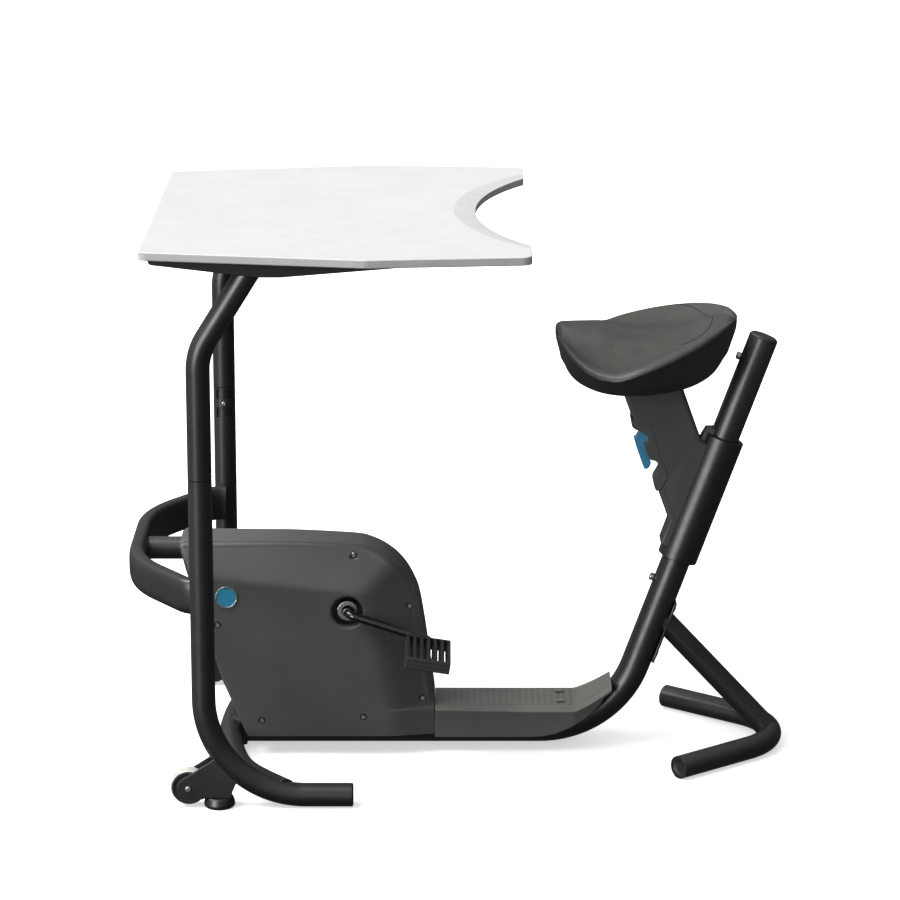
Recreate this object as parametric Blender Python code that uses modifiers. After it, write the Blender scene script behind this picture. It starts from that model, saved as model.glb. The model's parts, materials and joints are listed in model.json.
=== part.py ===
# Desk exercise bike: a pedal drive in a moulded housing, a saddle that slides on a leaning mast,
# and a desktop on two telescoping uprights. Metres, +Z up, +X from the desk towards the saddle.
# The origin is on the floor, under the middle of the whole object.
import math

import bmesh
import bpy
from mathutils import Matrix, Vector

# Shared fits
GAP = 0.0003
RUNNING_GAP = 0.0004
BEND_STEP = math.radians(18.0)
TUBE_SIDES = 16
BEAM_SIDES = 20

# Round steel tube of the legs, uprights and rear base
TUBE_RADIUS = 0.0254
TUBE_WALL = 0.0025
CAP_FLANGE = 0.003
CAP_DEPTH = 0.014
REAR_CAP_RECESS = 0.0015

# Legs and uprights
UPRIGHT_X = -0.5406
UPRIGHT_Y = 0.418
SEAM_HEIGHT = 0.725
LEG_BEND_RADIUS = 0.215
LEG_FOOT_END_X = -0.2263
WINDOW_WIDTH = 0.034
WINDOW_DEPTH = 0.0112
WINDOW_HEIGHT = 0.024
WINDOW_TOP_DROP = 0.003
WINDOW_BAR = 0.019
LOCK_BOLT_RADIUS = 0.0028
LOCK_HEAD_RADIUS = 0.005
LOCK_HEAD_HEIGHT = 0.003
SPIGOT_LENGTH = 0.185
SPIGOT_WALL = 0.002
UPRIGHT_LEAN = math.radians(32.0)
UPRIGHT_BEND_HEIGHT = 0.9969
UPRIGHT_BEND_RADIUS = 0.13

# Desktop and the steel under it
DESK_TOP = 1.221
DESK_THICKNESS = 0.018
DESK_FRONT_X = -0.650
DESK_FRONT_HALF = 0.470
DESK_KINK_X = -0.186
DESK_KINK_HALF = 0.554
DESK_TIP_X = 0.152
DESK_TIP_HALF = 0.522
DESK_CORNER_RADIUS = 0.022
DESK_EDGE_ROUND = 0.003
CUTOUT_RADIUS = 0.728
CUTOUT_DEPTH = 0.113
SCOOP_RADIUS = 0.673
SCOOP_WIDTH = 0.047
SCOOP_SLOPE = math.radians(11.0)
CUTTER_STEPS = 96
BRACKET_WIDTH = 0.070
BRACKET_WALL = 0.003
BRACKET_FRONT_SETBACK = 0.013
BRACKET_REAR_X = 0.040
BRACKET_NOSE = 0.013
BRACKET_DEPTH = 0.039
BRACKET_TAIL = 0.006
BRACKET_DEEP_X = (-0.412, -0.365)
CROSSBAR_WIDTH = 0.050
CROSSBAR_HEIGHT = 0.022
CROSSBAR_X = -0.385

# Main beam, which bends up into the mast
BEAM_RADIUS = 0.0325
BEAM_WALL = 0.003
BEAM_CENTRE = 0.0345
BEAM_BEND_RADIUS = 0.227
MAST_FOOT_X = 0.3456
MAST_LEAN = math.radians(19.94)
MAST_TOP = 0.9345
MAST_CAP_FLANGE = 0.006
STOP_BOLT_RADIUS = 0.0045
STOP_HEAD_RADIUS = 0.0075
STOP_HEAD_HEIGHT = 0.013

# Front cross tube, its saddle block, and the transport wheels
CROSS_X = -0.509
CROSS_CENTRE = 0.0354
CROSS_PLAN = [
    (CROSS_X, 0.0), (-0.5043, 0.085), (-0.494, 0.170), (-0.477, 0.245), (-0.4555, 0.300),
    (-0.4225, 0.352), (-0.369, 0.420),
]
SOCKET_LENGTH = 0.012
SOCKET_WELD = 0.006
SOCKET_HALF_WIDTH = 0.038
SOCKET_HEIGHT = 0.074
SOCKET_CLEARANCE = 0.004
WHEEL_RADIUS = 0.0385
WHEEL_WIDTH = 0.038
WHEEL_INSET = 0.004
WHEEL_HUB_RADIUS = 0.011
WHEEL_X = -0.5757
WHEEL_CENTRE = 0.045
WHEEL_BOLT_RADIUS = 0.0035
WHEEL_BOLT_HEAD = 0.0065
CHEEK_THICKNESS = 0.003
CHEEK_GAP = 0.001
CHEEK_LOBE_RADIUS = 0.0245
CHEEK_TOP_SLOPE = math.radians(33.3)
CHEEK_REACH = 0.036
SHELF_BOTTOM = 0.024
SHELF_THICKNESS = 0.006
SHELF_START_X = -0.5345
SHELF_END_X = -0.4838
LEVEL_FOOT_RADIUS = 0.0335
LEVEL_STEM_RADIUS = 0.005
LEVEL_STEM_TOP = 0.062
LEVEL_FOOT_X = -0.5102

# Grab loop in front and the tube that carries it
LOOP_HEIGHT = 0.4555
LOOP_TALL = 0.078
LOOP_THICK = 0.0364
LOOP_FRONT_X = -0.7039
LOOP_BEND = 0.311
LOOP_SIDE = (-0.6233, 0.300)
LOOP_SPLAY = math.radians(35.3)
LOOP_END_X = -0.537
LOOP_END_BEND = 0.055
LOOP_PROFILE_SIDES = 14
LOOP_SQUARENESS = 0.60
LOOP_WALL = 0.002

# Rear stand
STRUT_MAST_HEIGHT = 0.3064
REAR_APEX_X = 0.7317
REAR_BEND_RADIUS = 0.150
REAR_END_X = 0.4848
REAR_END_HALF = 0.247
PLATE_LENGTH = 0.148
PLATE_WIDTH = 0.050
PLATE_THICKNESS = 0.006
PLATE_CENTRE_HEIGHT = 0.2735
PLATE_BOLT_SPREAD = 0.112
PLATE_BOLT_RADIUS = 0.004
PLATE_BOLT_HEAD = 0.0075
PLATE_BOLT_HEAD_HEIGHT = 0.004

# Housing outline: metres along X and Z, then the side widths
HOUSING_WALL = 0.003
HOUSING_TOP = 0.486
HOUSING_BOTTOM = 0.043
HOUSING_FRONT_TOP_X = -0.620
HOUSING_FRONT_LOW_X = -0.467
HOUSING_REAR_X = -0.050
HOUSING_HALF_TOP = 0.053
HOUSING_HALF_SIDE = 0.095
HOUSING_CREASE = 0.3915
HOUSING_CREASE_FALL = math.radians(5.6)
HOUSING_REAR_HALF = 0.055
HOUSING_TAPER_X = -0.143
HOUSING_TAPER_LEAN = math.radians(12.0)
HOUSING_LEDGE = 0.107
FLANK_HEIGHT = 0.6
HOUSING_SPLIT = 0.0002
CRANK_HOLE_RADIUS = 0.034
BADGE_RADIUS = 0.0245
BADGE_THICKNESS = 0.003
BADGE_X = -0.510
BADGE_CENTRE = 0.369

# Step cover over the low beam
STEP_TOP = 0.106
STEP_HALF_TOP = 0.065
STEP_HALF_SIDE = 0.075
STEP_BOTTOM = 0.036
STEP_FLAT_END_X = 0.278
STEP_RAMP_X = 0.3452
STEP_RAMP_TOP = 0.150
STEP_WALL = 0.003
STEP_BEVEL_DROP = 0.011

# Crank drive
CRANK_X = -0.243
CRANK_CENTRE = 0.333
CRANK_LENGTH = 0.185
CRANK_ANGLE = math.radians(-15.2)
CRANK_ROD_RADIUS = 0.0095
CRANK_AXLE_HALF = 0.108
CRANK_END_Y = 0.152
CRANK_KNEE_Y = 0.138
SHELL_RADIUS = 0.0225
SHELL_WALL = 0.004
SHELL_LEFT_Y = -0.078
SHELL_RIGHT_Y = 0.036
POST_RADIUS = 0.019
POST_WALL = 0.002
CUP_FLANGE = 0.004
PULLEY_RADIUS = 0.105
PULLEY_WIDTH = 0.014
PULLEY_RIM = 0.010
PULLEY_WEB = 0.004
PULLEY_HUB_RADIUS = 0.026
PULLEY_Y = 0.059
HUB_END_Y = 0.086
BELT_WIDTH = 0.010
BELT_THICKNESS = 0.0025
BELT_ARC_STEPS = 14

# Flywheel and what carries and slows it
FLYWHEEL_X = -0.415
FLYWHEEL_CENTRE = 0.235
FLYWHEEL_RADIUS = 0.105
FLYWHEEL_RIM_WIDTH = 0.022
FLYWHEEL_RIM_DEPTH = 0.024
FLYWHEEL_WEB = 0.006
FLYWHEEL_HUB_RADIUS = 0.020
FLYWHEEL_Y = -0.049
SHAFT_RADIUS = 0.006
SMALL_PULLEY_RADIUS = 0.024
FORK_HALF = 0.028
FORK_PLATE = 0.004
FORK_TOP_RADIUS = 0.022
FORK_FOOT_HALF = 0.055
FORK_SPACER = (0.030, 0.020)
FORK_SPACER_HEIGHT = 0.105
FRONT_POST_FOOT_X = -0.430
FRONT_POST_TOP_X = -0.530
BRAKE_LENGTH = 0.060
BRAKE_BRIDGE = 0.014
BRAKE_CHEEK = 0.008
BRAKE_GAP = 0.0025

# Pedals
PEDAL_LENGTH = 0.098
PEDAL_WIDTH = 0.165
PEDAL_THICKNESS = 0.026
PEDAL_TILT = math.radians(8.7)
PEDAL_START_Y = 0.160
PEDAL_SLOTS = 6
PEDAL_SLOT_LENGTH = 0.030
PEDAL_SLOT_WIDTH = 0.009
SPINDLE_RADIUS = 0.0055
PEDAL_BOSS_RADIUS = 0.0105

# Seat carriage
SLEEVE_RADIUS = 0.045
SLEEVE_WALL = 0.004
SLEEVE_LENGTH = 0.294
SLEEVE_CENTRE_HEIGHT = 0.5717
UPPER_STOP_ABOVE = 0.3103
LOWER_STOP_BELOW = 0.1957
STOP_HEIGHTS = {
    "upper_stop_bolt": SLEEVE_CENTRE_HEIGHT + UPPER_STOP_ABOVE,
    "lower_stop_bolt": SLEEVE_CENTRE_HEIGHT - LOWER_STOP_BELOW,
}
SLEEVE_CHAMFER = 0.004
SEAT_POST_HALF = 0.030
SEAT_POST_FRONT = (0.367, 0.8082)
SEAT_POST_BACK = (0.5367, 0.7107)
SEAT_POST_KNEE_HEIGHT = 0.5270
SEAT_POST_LEAN = math.radians(19.8)
SEAT_POST_ROUND = 0.010
POST_EAR_HALF = 0.012
TRIM_HALF = 0.027
TRIM_SLOT_HALF = 0.0125
LEVER_HALF = 0.0115
LEVER_PIVOT = (0.4255, 0.7118)
LEVER_PIN_RADIUS = 0.0025
LEVER_TRAVEL = math.radians(8.0)
SHOE_RADIUS = 0.008
SHOE_LENGTH = 0.030
SHOE_TRAVEL = 0.004
SHOE_HEIGHT = 0.600

# Saddle
SADDLE_MIDDLE_X = 0.370
SADDLE_FRONT = 0.158
SADDLE_REAR = 0.252
SADDLE_HALF_WIDTH = 0.305
SADDLE_REAR_POWER = 1.7
SADDLE_BOTTOM = 0.864
SADDLE_SEGMENTS = 22
RIDGE_HEIGHT = 0.972
HOLLOW_DEPTH = 0.014
PAN_THICKNESS = 0.008
PAN_SHARE = 0.70

PARTS = "desk_exercise_bike"
CUTTERS = "cutters"


# Scene and materials

def clear_scene():
    for obj in list(bpy.data.objects):
        bpy.data.objects.remove(obj, do_unlink=True)
    for name in (PARTS, CUTTERS):
        bpy.context.scene.collection.children.link(bpy.data.collections.new(name))


def linear(channel):
    if channel <= 0.04045:
        return channel / 12.92
    return ((channel + 0.055) / 1.055) ** 2.4


def material(name, hex_colour, roughness, metallic=0.0):
    found = bpy.data.materials.get(name)
    if found:
        return found
    made = bpy.data.materials.new(name)
    made.use_nodes = True
    shader = made.node_tree.nodes["Principled BSDF"]
    channels = [linear(int(hex_colour[i:i + 2], 16) / 255) for i in (1, 3, 5)]
    shader.inputs["Base Color"].default_value = (*channels, 1.0)
    shader.inputs["Roughness"].default_value = roughness
    shader.inputs["Metallic"].default_value = metallic
    return made


def black_paint():
    return material("satin_black_paint", "#2E2F30", 0.42)


def dark_plastic():
    return material("charcoal_plastic", "#3B3C3D", 0.55)


def grey_plastic():
    return material("grey_plastic", "#777B78", 0.6)


def black_plastic():
    return material("black_plastic", "#161617", 0.5)


def white_laminate():
    return material("white_laminate", "#F2F3F2", 0.35)


def black_leather():
    return material("black_leatherette", "#26241F", 0.5)


def blue_plastic():
    return material("blue_plastic", "#1C9BE8", 0.35)


def blue_enamel():
    return material("blue_enamel", "#2585AE", 0.3)


def bright_steel():
    return material("bright_steel", "#C9CACB", 0.28, 1.0)


def cast_iron():
    return material("cast_iron", "#4A4A4B", 0.6, 1.0)


def rubber():
    return material("rubber", "#1B1B1B", 0.8)


def link_object(name, data, finish, cutter=False):
    obj = bpy.data.objects.new(name, data)
    bpy.data.collections[CUTTERS if cutter else PARTS].objects.link(obj)
    if cutter:
        obj.hide_render = True
        obj.display_type = "WIRE"
    elif finish:
        obj.data.materials.append(finish)
    return obj


def pivot(name, place, turn=(0.0, 0.0, 0.0), parent=None):
    """An empty on a joint's axis, which carries the pieces that move about it."""
    empty = bpy.data.objects.new(name, None)
    bpy.data.collections[PARTS].objects.link(empty)
    empty.location = place
    empty.rotation_euler = turn
    if parent:
        attach(empty, parent)
    return empty


def attach(obj, parent):
    """Parents an object without moving it."""
    bpy.context.view_layer.update()
    obj.parent = parent
    obj.matrix_parent_inverse = parent.matrix_world.inverted()


def smooth(obj):
    obj.data.shade_smooth()
    obj.data.set_sharp_from_angle(angle=math.radians(35.0))


def outer_radius(radius, sides):
    """Radius of the corners of a many-sided hole whose flats clear this radius."""
    return radius / math.cos(math.pi / sides)


# Shapes

def rounded_path(corners, radii, step=BEND_STEP):
    """Points of a line through the corners, each inner corner turned into an arc."""
    points = [Vector(corners[0])]
    for before, corner, after, radius in zip(corners, corners[1:], corners[2:], radii):
        corner = Vector(corner)
        back = (Vector(before) - corner).normalized()
        ahead = (Vector(after) - corner).normalized()
        turn = math.pi - back.angle(ahead)
        if radius <= 0.0 or turn < 1e-4:
            points.append(corner)
            continue
        reach = radius * math.tan(turn / 2)
        start = corner + back * reach
        middle = corner + (back + ahead).normalized() * (radius / math.cos(turn / 2))
        axis = (start - middle).cross(-back).normalized()
        count = max(2, math.ceil(turn / step))
        for i in range(count + 1):
            turned = Matrix.Rotation(turn * i / count, 3, axis) @ (start - middle)
            points.append(middle + turned)
    points.append(Vector(corners[-1]))
    return points


def line_curve(name, points, radius, sides, caps, radii=None):
    curve = bpy.data.curves.new(name, "CURVE")
    curve.dimensions = "3D"
    curve.bevel_depth = radius
    curve.bevel_resolution = (sides - 4) // 2
    curve.use_fill_caps = caps
    curve.twist_mode = "MINIMUM"
    spline = curve.splines.new("POLY")
    spline.points.add(len(points) - 1)
    for i, point in enumerate(points):
        spline.points[i].co = (*point, 1.0)
        spline.points[i].radius = radii[i] if radii else 1.0
    return curve


def made_mesh(obj):
    """Replaces a curve object by the mesh it evaluates to, with its caps welded."""
    bpy.context.view_layer.update()
    graph = bpy.context.evaluated_depsgraph_get()
    mesh = bpy.data.meshes.new_from_object(obj.evaluated_get(graph))
    edit = bmesh.new()
    edit.from_mesh(mesh)
    bmesh.ops.remove_doubles(edit, verts=edit.verts, dist=0.00001)
    bmesh.ops.dissolve_limit(
        edit, angle_limit=0.001, verts=edit.verts, edges=edit.edges, delimit=set()
    )
    if all(edge.is_manifold for edge in edit.edges):
        bmesh.ops.recalc_face_normals(edit, faces=edit.faces)
    edit.to_mesh(mesh)
    edit.free()
    name = obj.name
    cutter = obj.hide_render
    place = obj.matrix_world.copy()
    bpy.data.objects.remove(obj, do_unlink=True)
    finish = mesh.materials[0] if mesh.materials else None
    mesh.materials.clear()
    made = link_object(name, mesh, finish, cutter)
    made.matrix_world = place
    return made


def rod(name, points, radius, finish=None, sides=TUBE_SIDES, cutter=False):
    curve = line_curve(name, points, radius, sides, True)
    obj = made_mesh(link_object(name, curve, finish, cutter))
    smooth(obj)
    return obj


def tube(name, points, radius, wall, finish, sides=TUBE_SIDES, radii=None):
    """A hollow tube along a path: an open skin with its wall turned inwards."""
    curve = line_curve(name, points, radius, sides, False, radii)
    obj = made_mesh(link_object(name, curve, finish))
    smooth(obj)
    skin = obj.modifiers.new("wall", "SOLIDIFY")
    skin.thickness = wall
    skin.offset = -1.0
    return obj


def prism(name, loops, thickness, finish=None, cutter=False):
    """A flat outline in X and Z, thick along Y and centred on Y = 0."""
    curve = bpy.data.curves.new(name, "CURVE")
    curve.dimensions = "2D"
    curve.fill_mode = "BOTH"
    curve.extrude = thickness / 2
    for loop in loops:
        spline = curve.splines.new("POLY")
        spline.points.add(len(loop) - 1)
        for i, (x, z) in enumerate(loop):
            spline.points[i].co = (x, z, 0.0, 1.0)
        spline.use_cyclic_u = True
    obj = link_object(name, curve, finish, cutter)
    obj.rotation_euler = (math.pi / 2, 0.0, 0.0)
    return made_mesh(obj)


def slab(name, outline, thickness, top, finish=None, cutter=False):
    """A flat outline in X and Y, thick along Z, with its upper face at top."""
    obj = prism(name, [outline], thickness, finish, cutter)
    obj.rotation_euler = (0.0, 0.0, 0.0)
    obj.location = (0.0, 0.0, top - thickness / 2)
    return obj


def turned(name, profile, finish=None, steps=24, cutter=False):
    """A profile of (radius, height) turned about the object's own Z axis."""
    mesh = bpy.data.meshes.new(name)
    closed = profile[0][0] > 0.0
    edges = [(i, i + 1) for i in range(len(profile) - 1)]
    if closed:
        edges.append((len(profile) - 1, 0))
    mesh.from_pydata([(radius, 0.0, height) for radius, height in profile], edges, [])
    obj = link_object(name, mesh, finish, cutter)
    screw = obj.modifiers.new("turn", "SCREW")
    screw.steps = steps
    screw.render_steps = steps
    screw.use_merge_vertices = True
    screw.merge_threshold = 0.00001
    screw.use_smooth_shade = False
    return obj


def disc_profile(radius, bottom, top, chamfer=0.0):
    if chamfer <= 0.0:
        return [(0.0, top), (radius, top), (radius, bottom), (0.0, bottom)]
    return [
        (0.0, top),
        (radius - chamfer, top),
        (radius, top - chamfer),
        (radius, bottom + chamfer),
        (radius - chamfer, bottom),
        (0.0, bottom),
    ]


def ring_profile(inner, outer, bottom, top, chamfer=0.0):
    if chamfer <= 0.0:
        return [(outer, top), (outer, bottom), (inner, bottom), (inner, top)]
    return [
        (outer - chamfer, top),
        (outer, top - chamfer),
        (outer, bottom + chamfer),
        (outer - chamfer, bottom),
        (inner, bottom),
        (inner, top),
    ]


def box(name, low, high, finish=None, cutter=False):
    mesh = bpy.data.meshes.new(name)
    edit = bmesh.new()
    bmesh.ops.create_cube(edit, size=1.0)
    size = [high[i] - low[i] for i in range(3)]
    bmesh.ops.scale(edit, vec=size, verts=edit.verts)
    edit.to_mesh(mesh)
    edit.free()
    obj = link_object(name, mesh, finish, cutter)
    obj.location = [(low[i] + high[i]) / 2 for i in range(3)]
    return obj


def combine(obj, other, operation):
    step = obj.modifiers.new(operation.lower(), "BOOLEAN")
    step.operation = operation
    step.solver = "EXACT"
    step.object = other
    return obj


def cut(obj, *cutters):
    for cutter in cutters:
        combine(obj, cutter, "DIFFERENCE")
    return obj


def join(obj, *others):
    for other in others:
        combine(obj, other, "UNION")
    return obj


def bevel(obj, width, segments=1, angle=40.0):
    step = obj.modifiers.new("edge", "BEVEL")
    step.width = width
    step.segments = segments
    step.limit_method = "ANGLE"
    step.angle_limit = math.radians(angle)
    step.miter_outer = "MITER_ARC" if segments > 1 else "MITER_SHARP"
    return obj


def along_y(obj, x, y, z):
    """Turns an object's own Z axis to +Y and puts it at this place."""
    obj.rotation_euler = (-math.pi / 2, 0.0, 0.0)
    obj.location = (x, y, z)
    return obj


def arc(middle, radius, start, end, count):
    """Points from one angle to another about a middle point, in one plane."""
    points = []
    for i in range(count + 1):
        angle = start + (end - start) * i / count
        points.append(
            (middle[0] + radius * math.cos(angle), middle[1] + radius * math.sin(angle))
        )
    return points


def round_corner(before, corner, after, radius, count=4):
    """The points of one rounded corner of a flat outline."""
    corners = [(*before, 0.0), (*corner, 0.0), (*after, 0.0)]
    turn = math.pi - (Vector(before) - Vector(corner)).angle(Vector(after) - Vector(corner))
    path = rounded_path(corners, [radius], step=turn / count)
    return [(point.x, point.y) for point in path[1:-1]]


def both_sides(make):
    """Makes a piece for the left side, at -Y, and for the right side, at +Y."""
    return {"left": make("left", -1.0), "right": make("right", 1.0)}


# Lines that several pieces follow

def mast_point(height, off=0.0):
    """A point of the mast's axis at this height, moved off it towards the front."""
    along = Vector((math.sin(MAST_LEAN), 0.0, math.cos(MAST_LEAN)))
    foot = Vector((MAST_FOOT_X, 0.0, BEAM_CENTRE))
    point = foot + along * ((height - BEAM_CENTRE) / along.z)
    return point + Vector((-along.z, 0.0, along.x)) * off


def beam_path():
    corners = [
        (CROSS_X, 0.0, BEAM_CENTRE),
        (MAST_FOOT_X, 0.0, BEAM_CENTRE),
        tuple(mast_point(MAST_TOP)),
    ]
    return rounded_path(corners, [BEAM_BEND_RADIUS], math.radians(10.0))


def leg_path(side):
    y = side * UPRIGHT_Y
    corners = [
        (UPRIGHT_X, y, SEAM_HEIGHT),
        (UPRIGHT_X, y, TUBE_RADIUS),
        (LEG_FOOT_END_X, y, TUBE_RADIUS),
    ]
    return rounded_path(corners, [LEG_BEND_RADIUS])


def cross_path():
    """A shallow bow across the front that sweeps back to a leg at both ends."""
    half = [(x, y, CROSS_CENTRE) for x, y in CROSS_PLAN]
    return [Vector((x, -y, z)) for x, y, z in reversed(half[1:])] + [Vector(p) for p in half]


def loop_path():
    """The grab loop's middle line: straight in front, bent back on both sides to the uprights."""
    side_x, side_half = LOOP_SIDE
    slope = math.tan(LOOP_SPLAY)
    front_half = side_half - (side_x - LOOP_FRONT_X) / slope
    end_half = UPRIGHT_Y - TUBE_RADIUS - LOOP_THICK / 2 - GAP
    knee_x = side_x + (end_half - side_half) * slope
    half = [(LOOP_END_X, end_half), (knee_x, end_half), (LOOP_FRONT_X, front_half)]
    corners = [(x, -y, LOOP_HEIGHT) for x, y in half]
    corners += [(x, y, LOOP_HEIGHT) for x, y in reversed(half)]
    radii = [LOOP_END_BEND, LOOP_BEND, LOOP_BEND, LOOP_END_BEND]
    return rounded_path(corners, radii, math.radians(12.0))


def rear_path():
    """The rear base: two splayed legs that meet in one bend at the back."""
    reach = REAR_APEX_X - TUBE_RADIUS
    splay = rear_splay()
    corner_x = reach + REAR_BEND_RADIUS * (1.0 / math.sin(splay) - 1.0)
    corners = [
        (REAR_END_X, -REAR_END_HALF, TUBE_RADIUS),
        (corner_x, 0.0, TUBE_RADIUS),
        (REAR_END_X, REAR_END_HALF, TUBE_RADIUS),
    ]
    return rounded_path(corners, [REAR_BEND_RADIUS])


def rear_splay():
    """Angle from X of the rear base's legs, found so that the bend ends at the apex."""
    reach = REAR_APEX_X - TUBE_RADIUS - REAR_END_X
    low = math.radians(5.0)
    high = math.radians(80.0)
    for _ in range(60):
        splay = (low + high) / 2
        corner = reach + REAR_BEND_RADIUS * (1.0 / math.sin(splay) - 1.0)
        if corner * math.tan(splay) > REAR_END_HALF:
            high = splay
        else:
            low = splay
    return splay


def pedal_centre(side):
    turn = CRANK_ANGLE if side < 0.0 else CRANK_ANGLE + math.pi
    x = CRANK_X + CRANK_LENGTH * math.cos(turn)
    z = CRANK_CENTRE + CRANK_LENGTH * math.sin(turn)
    return x, z


# Cutters shared by several pieces

def make_cutters():
    shared = {}
    shared["beam"] = rod(
        "cut_beam", beam_path(), outer_radius(BEAM_RADIUS + GAP, BEAM_SIDES),
        sides=BEAM_SIDES, cutter=True,
    )
    shared["cross"] = rod(
        "cut_cross", cross_path(), outer_radius(TUBE_RADIUS + GAP, TUBE_SIDES), cutter=True
    )
    for side, sign in (("left", -1.0), ("right", 1.0)):
        shared["leg_" + side] = rod(
            "cut_leg_" + side, leg_path(sign), outer_radius(TUBE_RADIUS + GAP, TUBE_SIDES),
            cutter=True,
        )
    return shared


# Frame

def across_mast(name, profile, height, off, sign, finish=None, steps=12, cutter=False):
    """A turned piece that stands square on the mast, to its front or its back."""
    obj = turned(name, profile, finish, steps, cutter)
    place = mast_point(height, sign * off)
    obj.rotation_euler = (0.0, MAST_LEAN - sign * math.pi / 2, 0.0)
    obj.location = place
    return obj


def bolt_profile(shank, head, head_height, shank_length):
    """A bolt seen from its seat: the head stands up from zero, the shank goes down."""
    return [
        (0.0, head_height),
        (head * 0.8, head_height),
        (head, head_height * 0.7),
        (head, GAP),
        (shank, GAP),
        (shank, -shank_length),
        (0.0, -shank_length),
    ]


def make_beam():
    beam = tube("main_beam", beam_path(), BEAM_RADIUS, BEAM_WALL, black_paint(), BEAM_SIDES)
    cut(beam, bpy.data.objects["cut_cross"])
    hole = disc_profile(STOP_BOLT_RADIUS + GAP, -0.02, 0.02)
    for name, height in STOP_HEIGHTS.items():
        cut(beam, across_mast("cut_" + name, hole, height, BEAM_RADIUS, 1.0, cutter=True))
        profile = bolt_profile(
            STOP_BOLT_RADIUS, STOP_HEAD_RADIUS, STOP_HEAD_HEIGHT, BEAM_WALL + 0.003
        )
        bolt = across_mast(name, profile, height, BEAM_RADIUS, 1.0, bright_steel())
        smooth(bolt)
    hole = disc_profile(PLATE_BOLT_RADIUS + GAP, -0.02, 0.02)
    for name, height in plate_bolts().items():
        cut(beam, across_mast("cut_" + name, hole, height, BEAM_RADIUS, -1.0, cutter=True))
    return beam


def plate_bolts():
    """The two heights on the mast at which the rear plate is bolted."""
    rise = PLATE_BOLT_SPREAD / 2 * math.cos(MAST_LEAN)
    return {
        "strut_bolt_upper": PLATE_CENTRE_HEIGHT + rise,
        "strut_bolt_lower": PLATE_CENTRE_HEIGHT - rise,
    }


def cap_profile(tube_radius, tube_wall, sides, flange):
    """An end cap: a rounded flange as wide as the tube, and a plug inside its bore."""
    plug = (tube_radius - tube_wall) * math.cos(math.pi / sides) - GAP
    return [
        (0.0, flange),
        (tube_radius - flange * 0.8, flange),
        (tube_radius - flange * 0.25, flange * 0.75),
        (tube_radius, flange * 0.25),
        (tube_radius, GAP),
        (plug, GAP),
        (plug, -CAP_DEPTH),
        (0.0, -CAP_DEPTH),
    ]


def place_cap(name, profile, end, outward, sides):
    """Puts an end cap on a tube whose end is at this point and faces outward."""
    cap = turned(name, profile, black_plastic(), sides)
    cap.rotation_euler = Vector(outward).to_track_quat("Z", "Y").to_euler()
    cap.location = end
    return cap


def make_mast_cap():
    along = Vector((math.sin(MAST_LEAN), 0.0, math.cos(MAST_LEAN)))
    profile = cap_profile(BEAM_RADIUS, BEAM_WALL, BEAM_SIDES, MAST_CAP_FLANGE)
    place_cap("mast_cap", profile, mast_point(MAST_TOP), along, BEAM_SIDES)


def window_cutter(side, sign, number):
    inner = sign * (UPRIGHT_Y - TUBE_RADIUS)
    deep = inner + sign * WINDOW_DEPTH
    top = SEAM_HEIGHT - WINDOW_TOP_DROP - number * (WINDOW_HEIGHT + WINDOW_BAR)
    low = (UPRIGHT_X - WINDOW_WIDTH / 2, min(inner - sign * 0.002, deep), top - WINDOW_HEIGHT)
    high = (UPRIGHT_X + WINDOW_WIDTH / 2, max(inner - sign * 0.002, deep), top)
    return box(f"cut_window_{side}_{number}", low, high, cutter=True)


def make_leg(side, sign):
    leg = tube("front_leg_" + side, leg_path(sign), TUBE_RADIUS, TUBE_WALL, black_paint())
    cut(leg, window_cutter(side, sign, 0), window_cutter(side, sign, 1))
    bolt_z = SEAM_HEIGHT - WINDOW_TOP_DROP - WINDOW_HEIGHT - WINDOW_BAR / 2
    hole = turned(
        "cut_lock_" + side, disc_profile(LOCK_BOLT_RADIUS + GAP, -0.01, 0.01), None, 12, True
    )
    face = sign * (UPRIGHT_Y - TUBE_RADIUS)
    hole.rotation_euler = (sign * math.pi / 2, 0.0, 0.0)
    hole.location = (UPRIGHT_X, face, bolt_z)
    cut(leg, hole)
    profile = bolt_profile(
        LOCK_BOLT_RADIUS, LOCK_HEAD_RADIUS, LOCK_HEAD_HEIGHT, TUBE_WALL - GAP
    )
    bolt = turned("height_lock_bolt_" + side, profile, bright_steel(), 12)
    bolt.rotation_euler = (sign * math.pi / 2, 0.0, 0.0)
    bolt.location = (UPRIGHT_X, face, bolt_z)
    end = (LEG_FOOT_END_X, sign * UPRIGHT_Y, TUBE_RADIUS)
    profile = cap_profile(TUBE_RADIUS, TUBE_WALL, TUBE_SIDES, CAP_FLANGE)
    place_cap("leg_cap_" + side, profile, end, (1.0, 0.0, 0.0), TUBE_SIDES)
    return leg


def make_cross_tube():
    """The front cross tube, with the welded socket that takes the beam's front end."""
    cross = tube("front_cross_tube", cross_path(), TUBE_RADIUS, TUBE_WALL, black_paint())
    front = CROSS_X + TUBE_RADIUS
    low = (front - SOCKET_WELD, -SOCKET_HALF_WIDTH, SOCKET_CLEARANCE)
    high = (front + SOCKET_LENGTH, SOCKET_HALF_WIDTH, SOCKET_HEIGHT)
    join(cross, box("join_socket", low, high, cutter=True))
    cut(cross, bpy.data.objects["cut_beam"])
    cut(cross, bpy.data.objects["cut_leg_left"], bpy.data.objects["cut_leg_right"])


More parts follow.
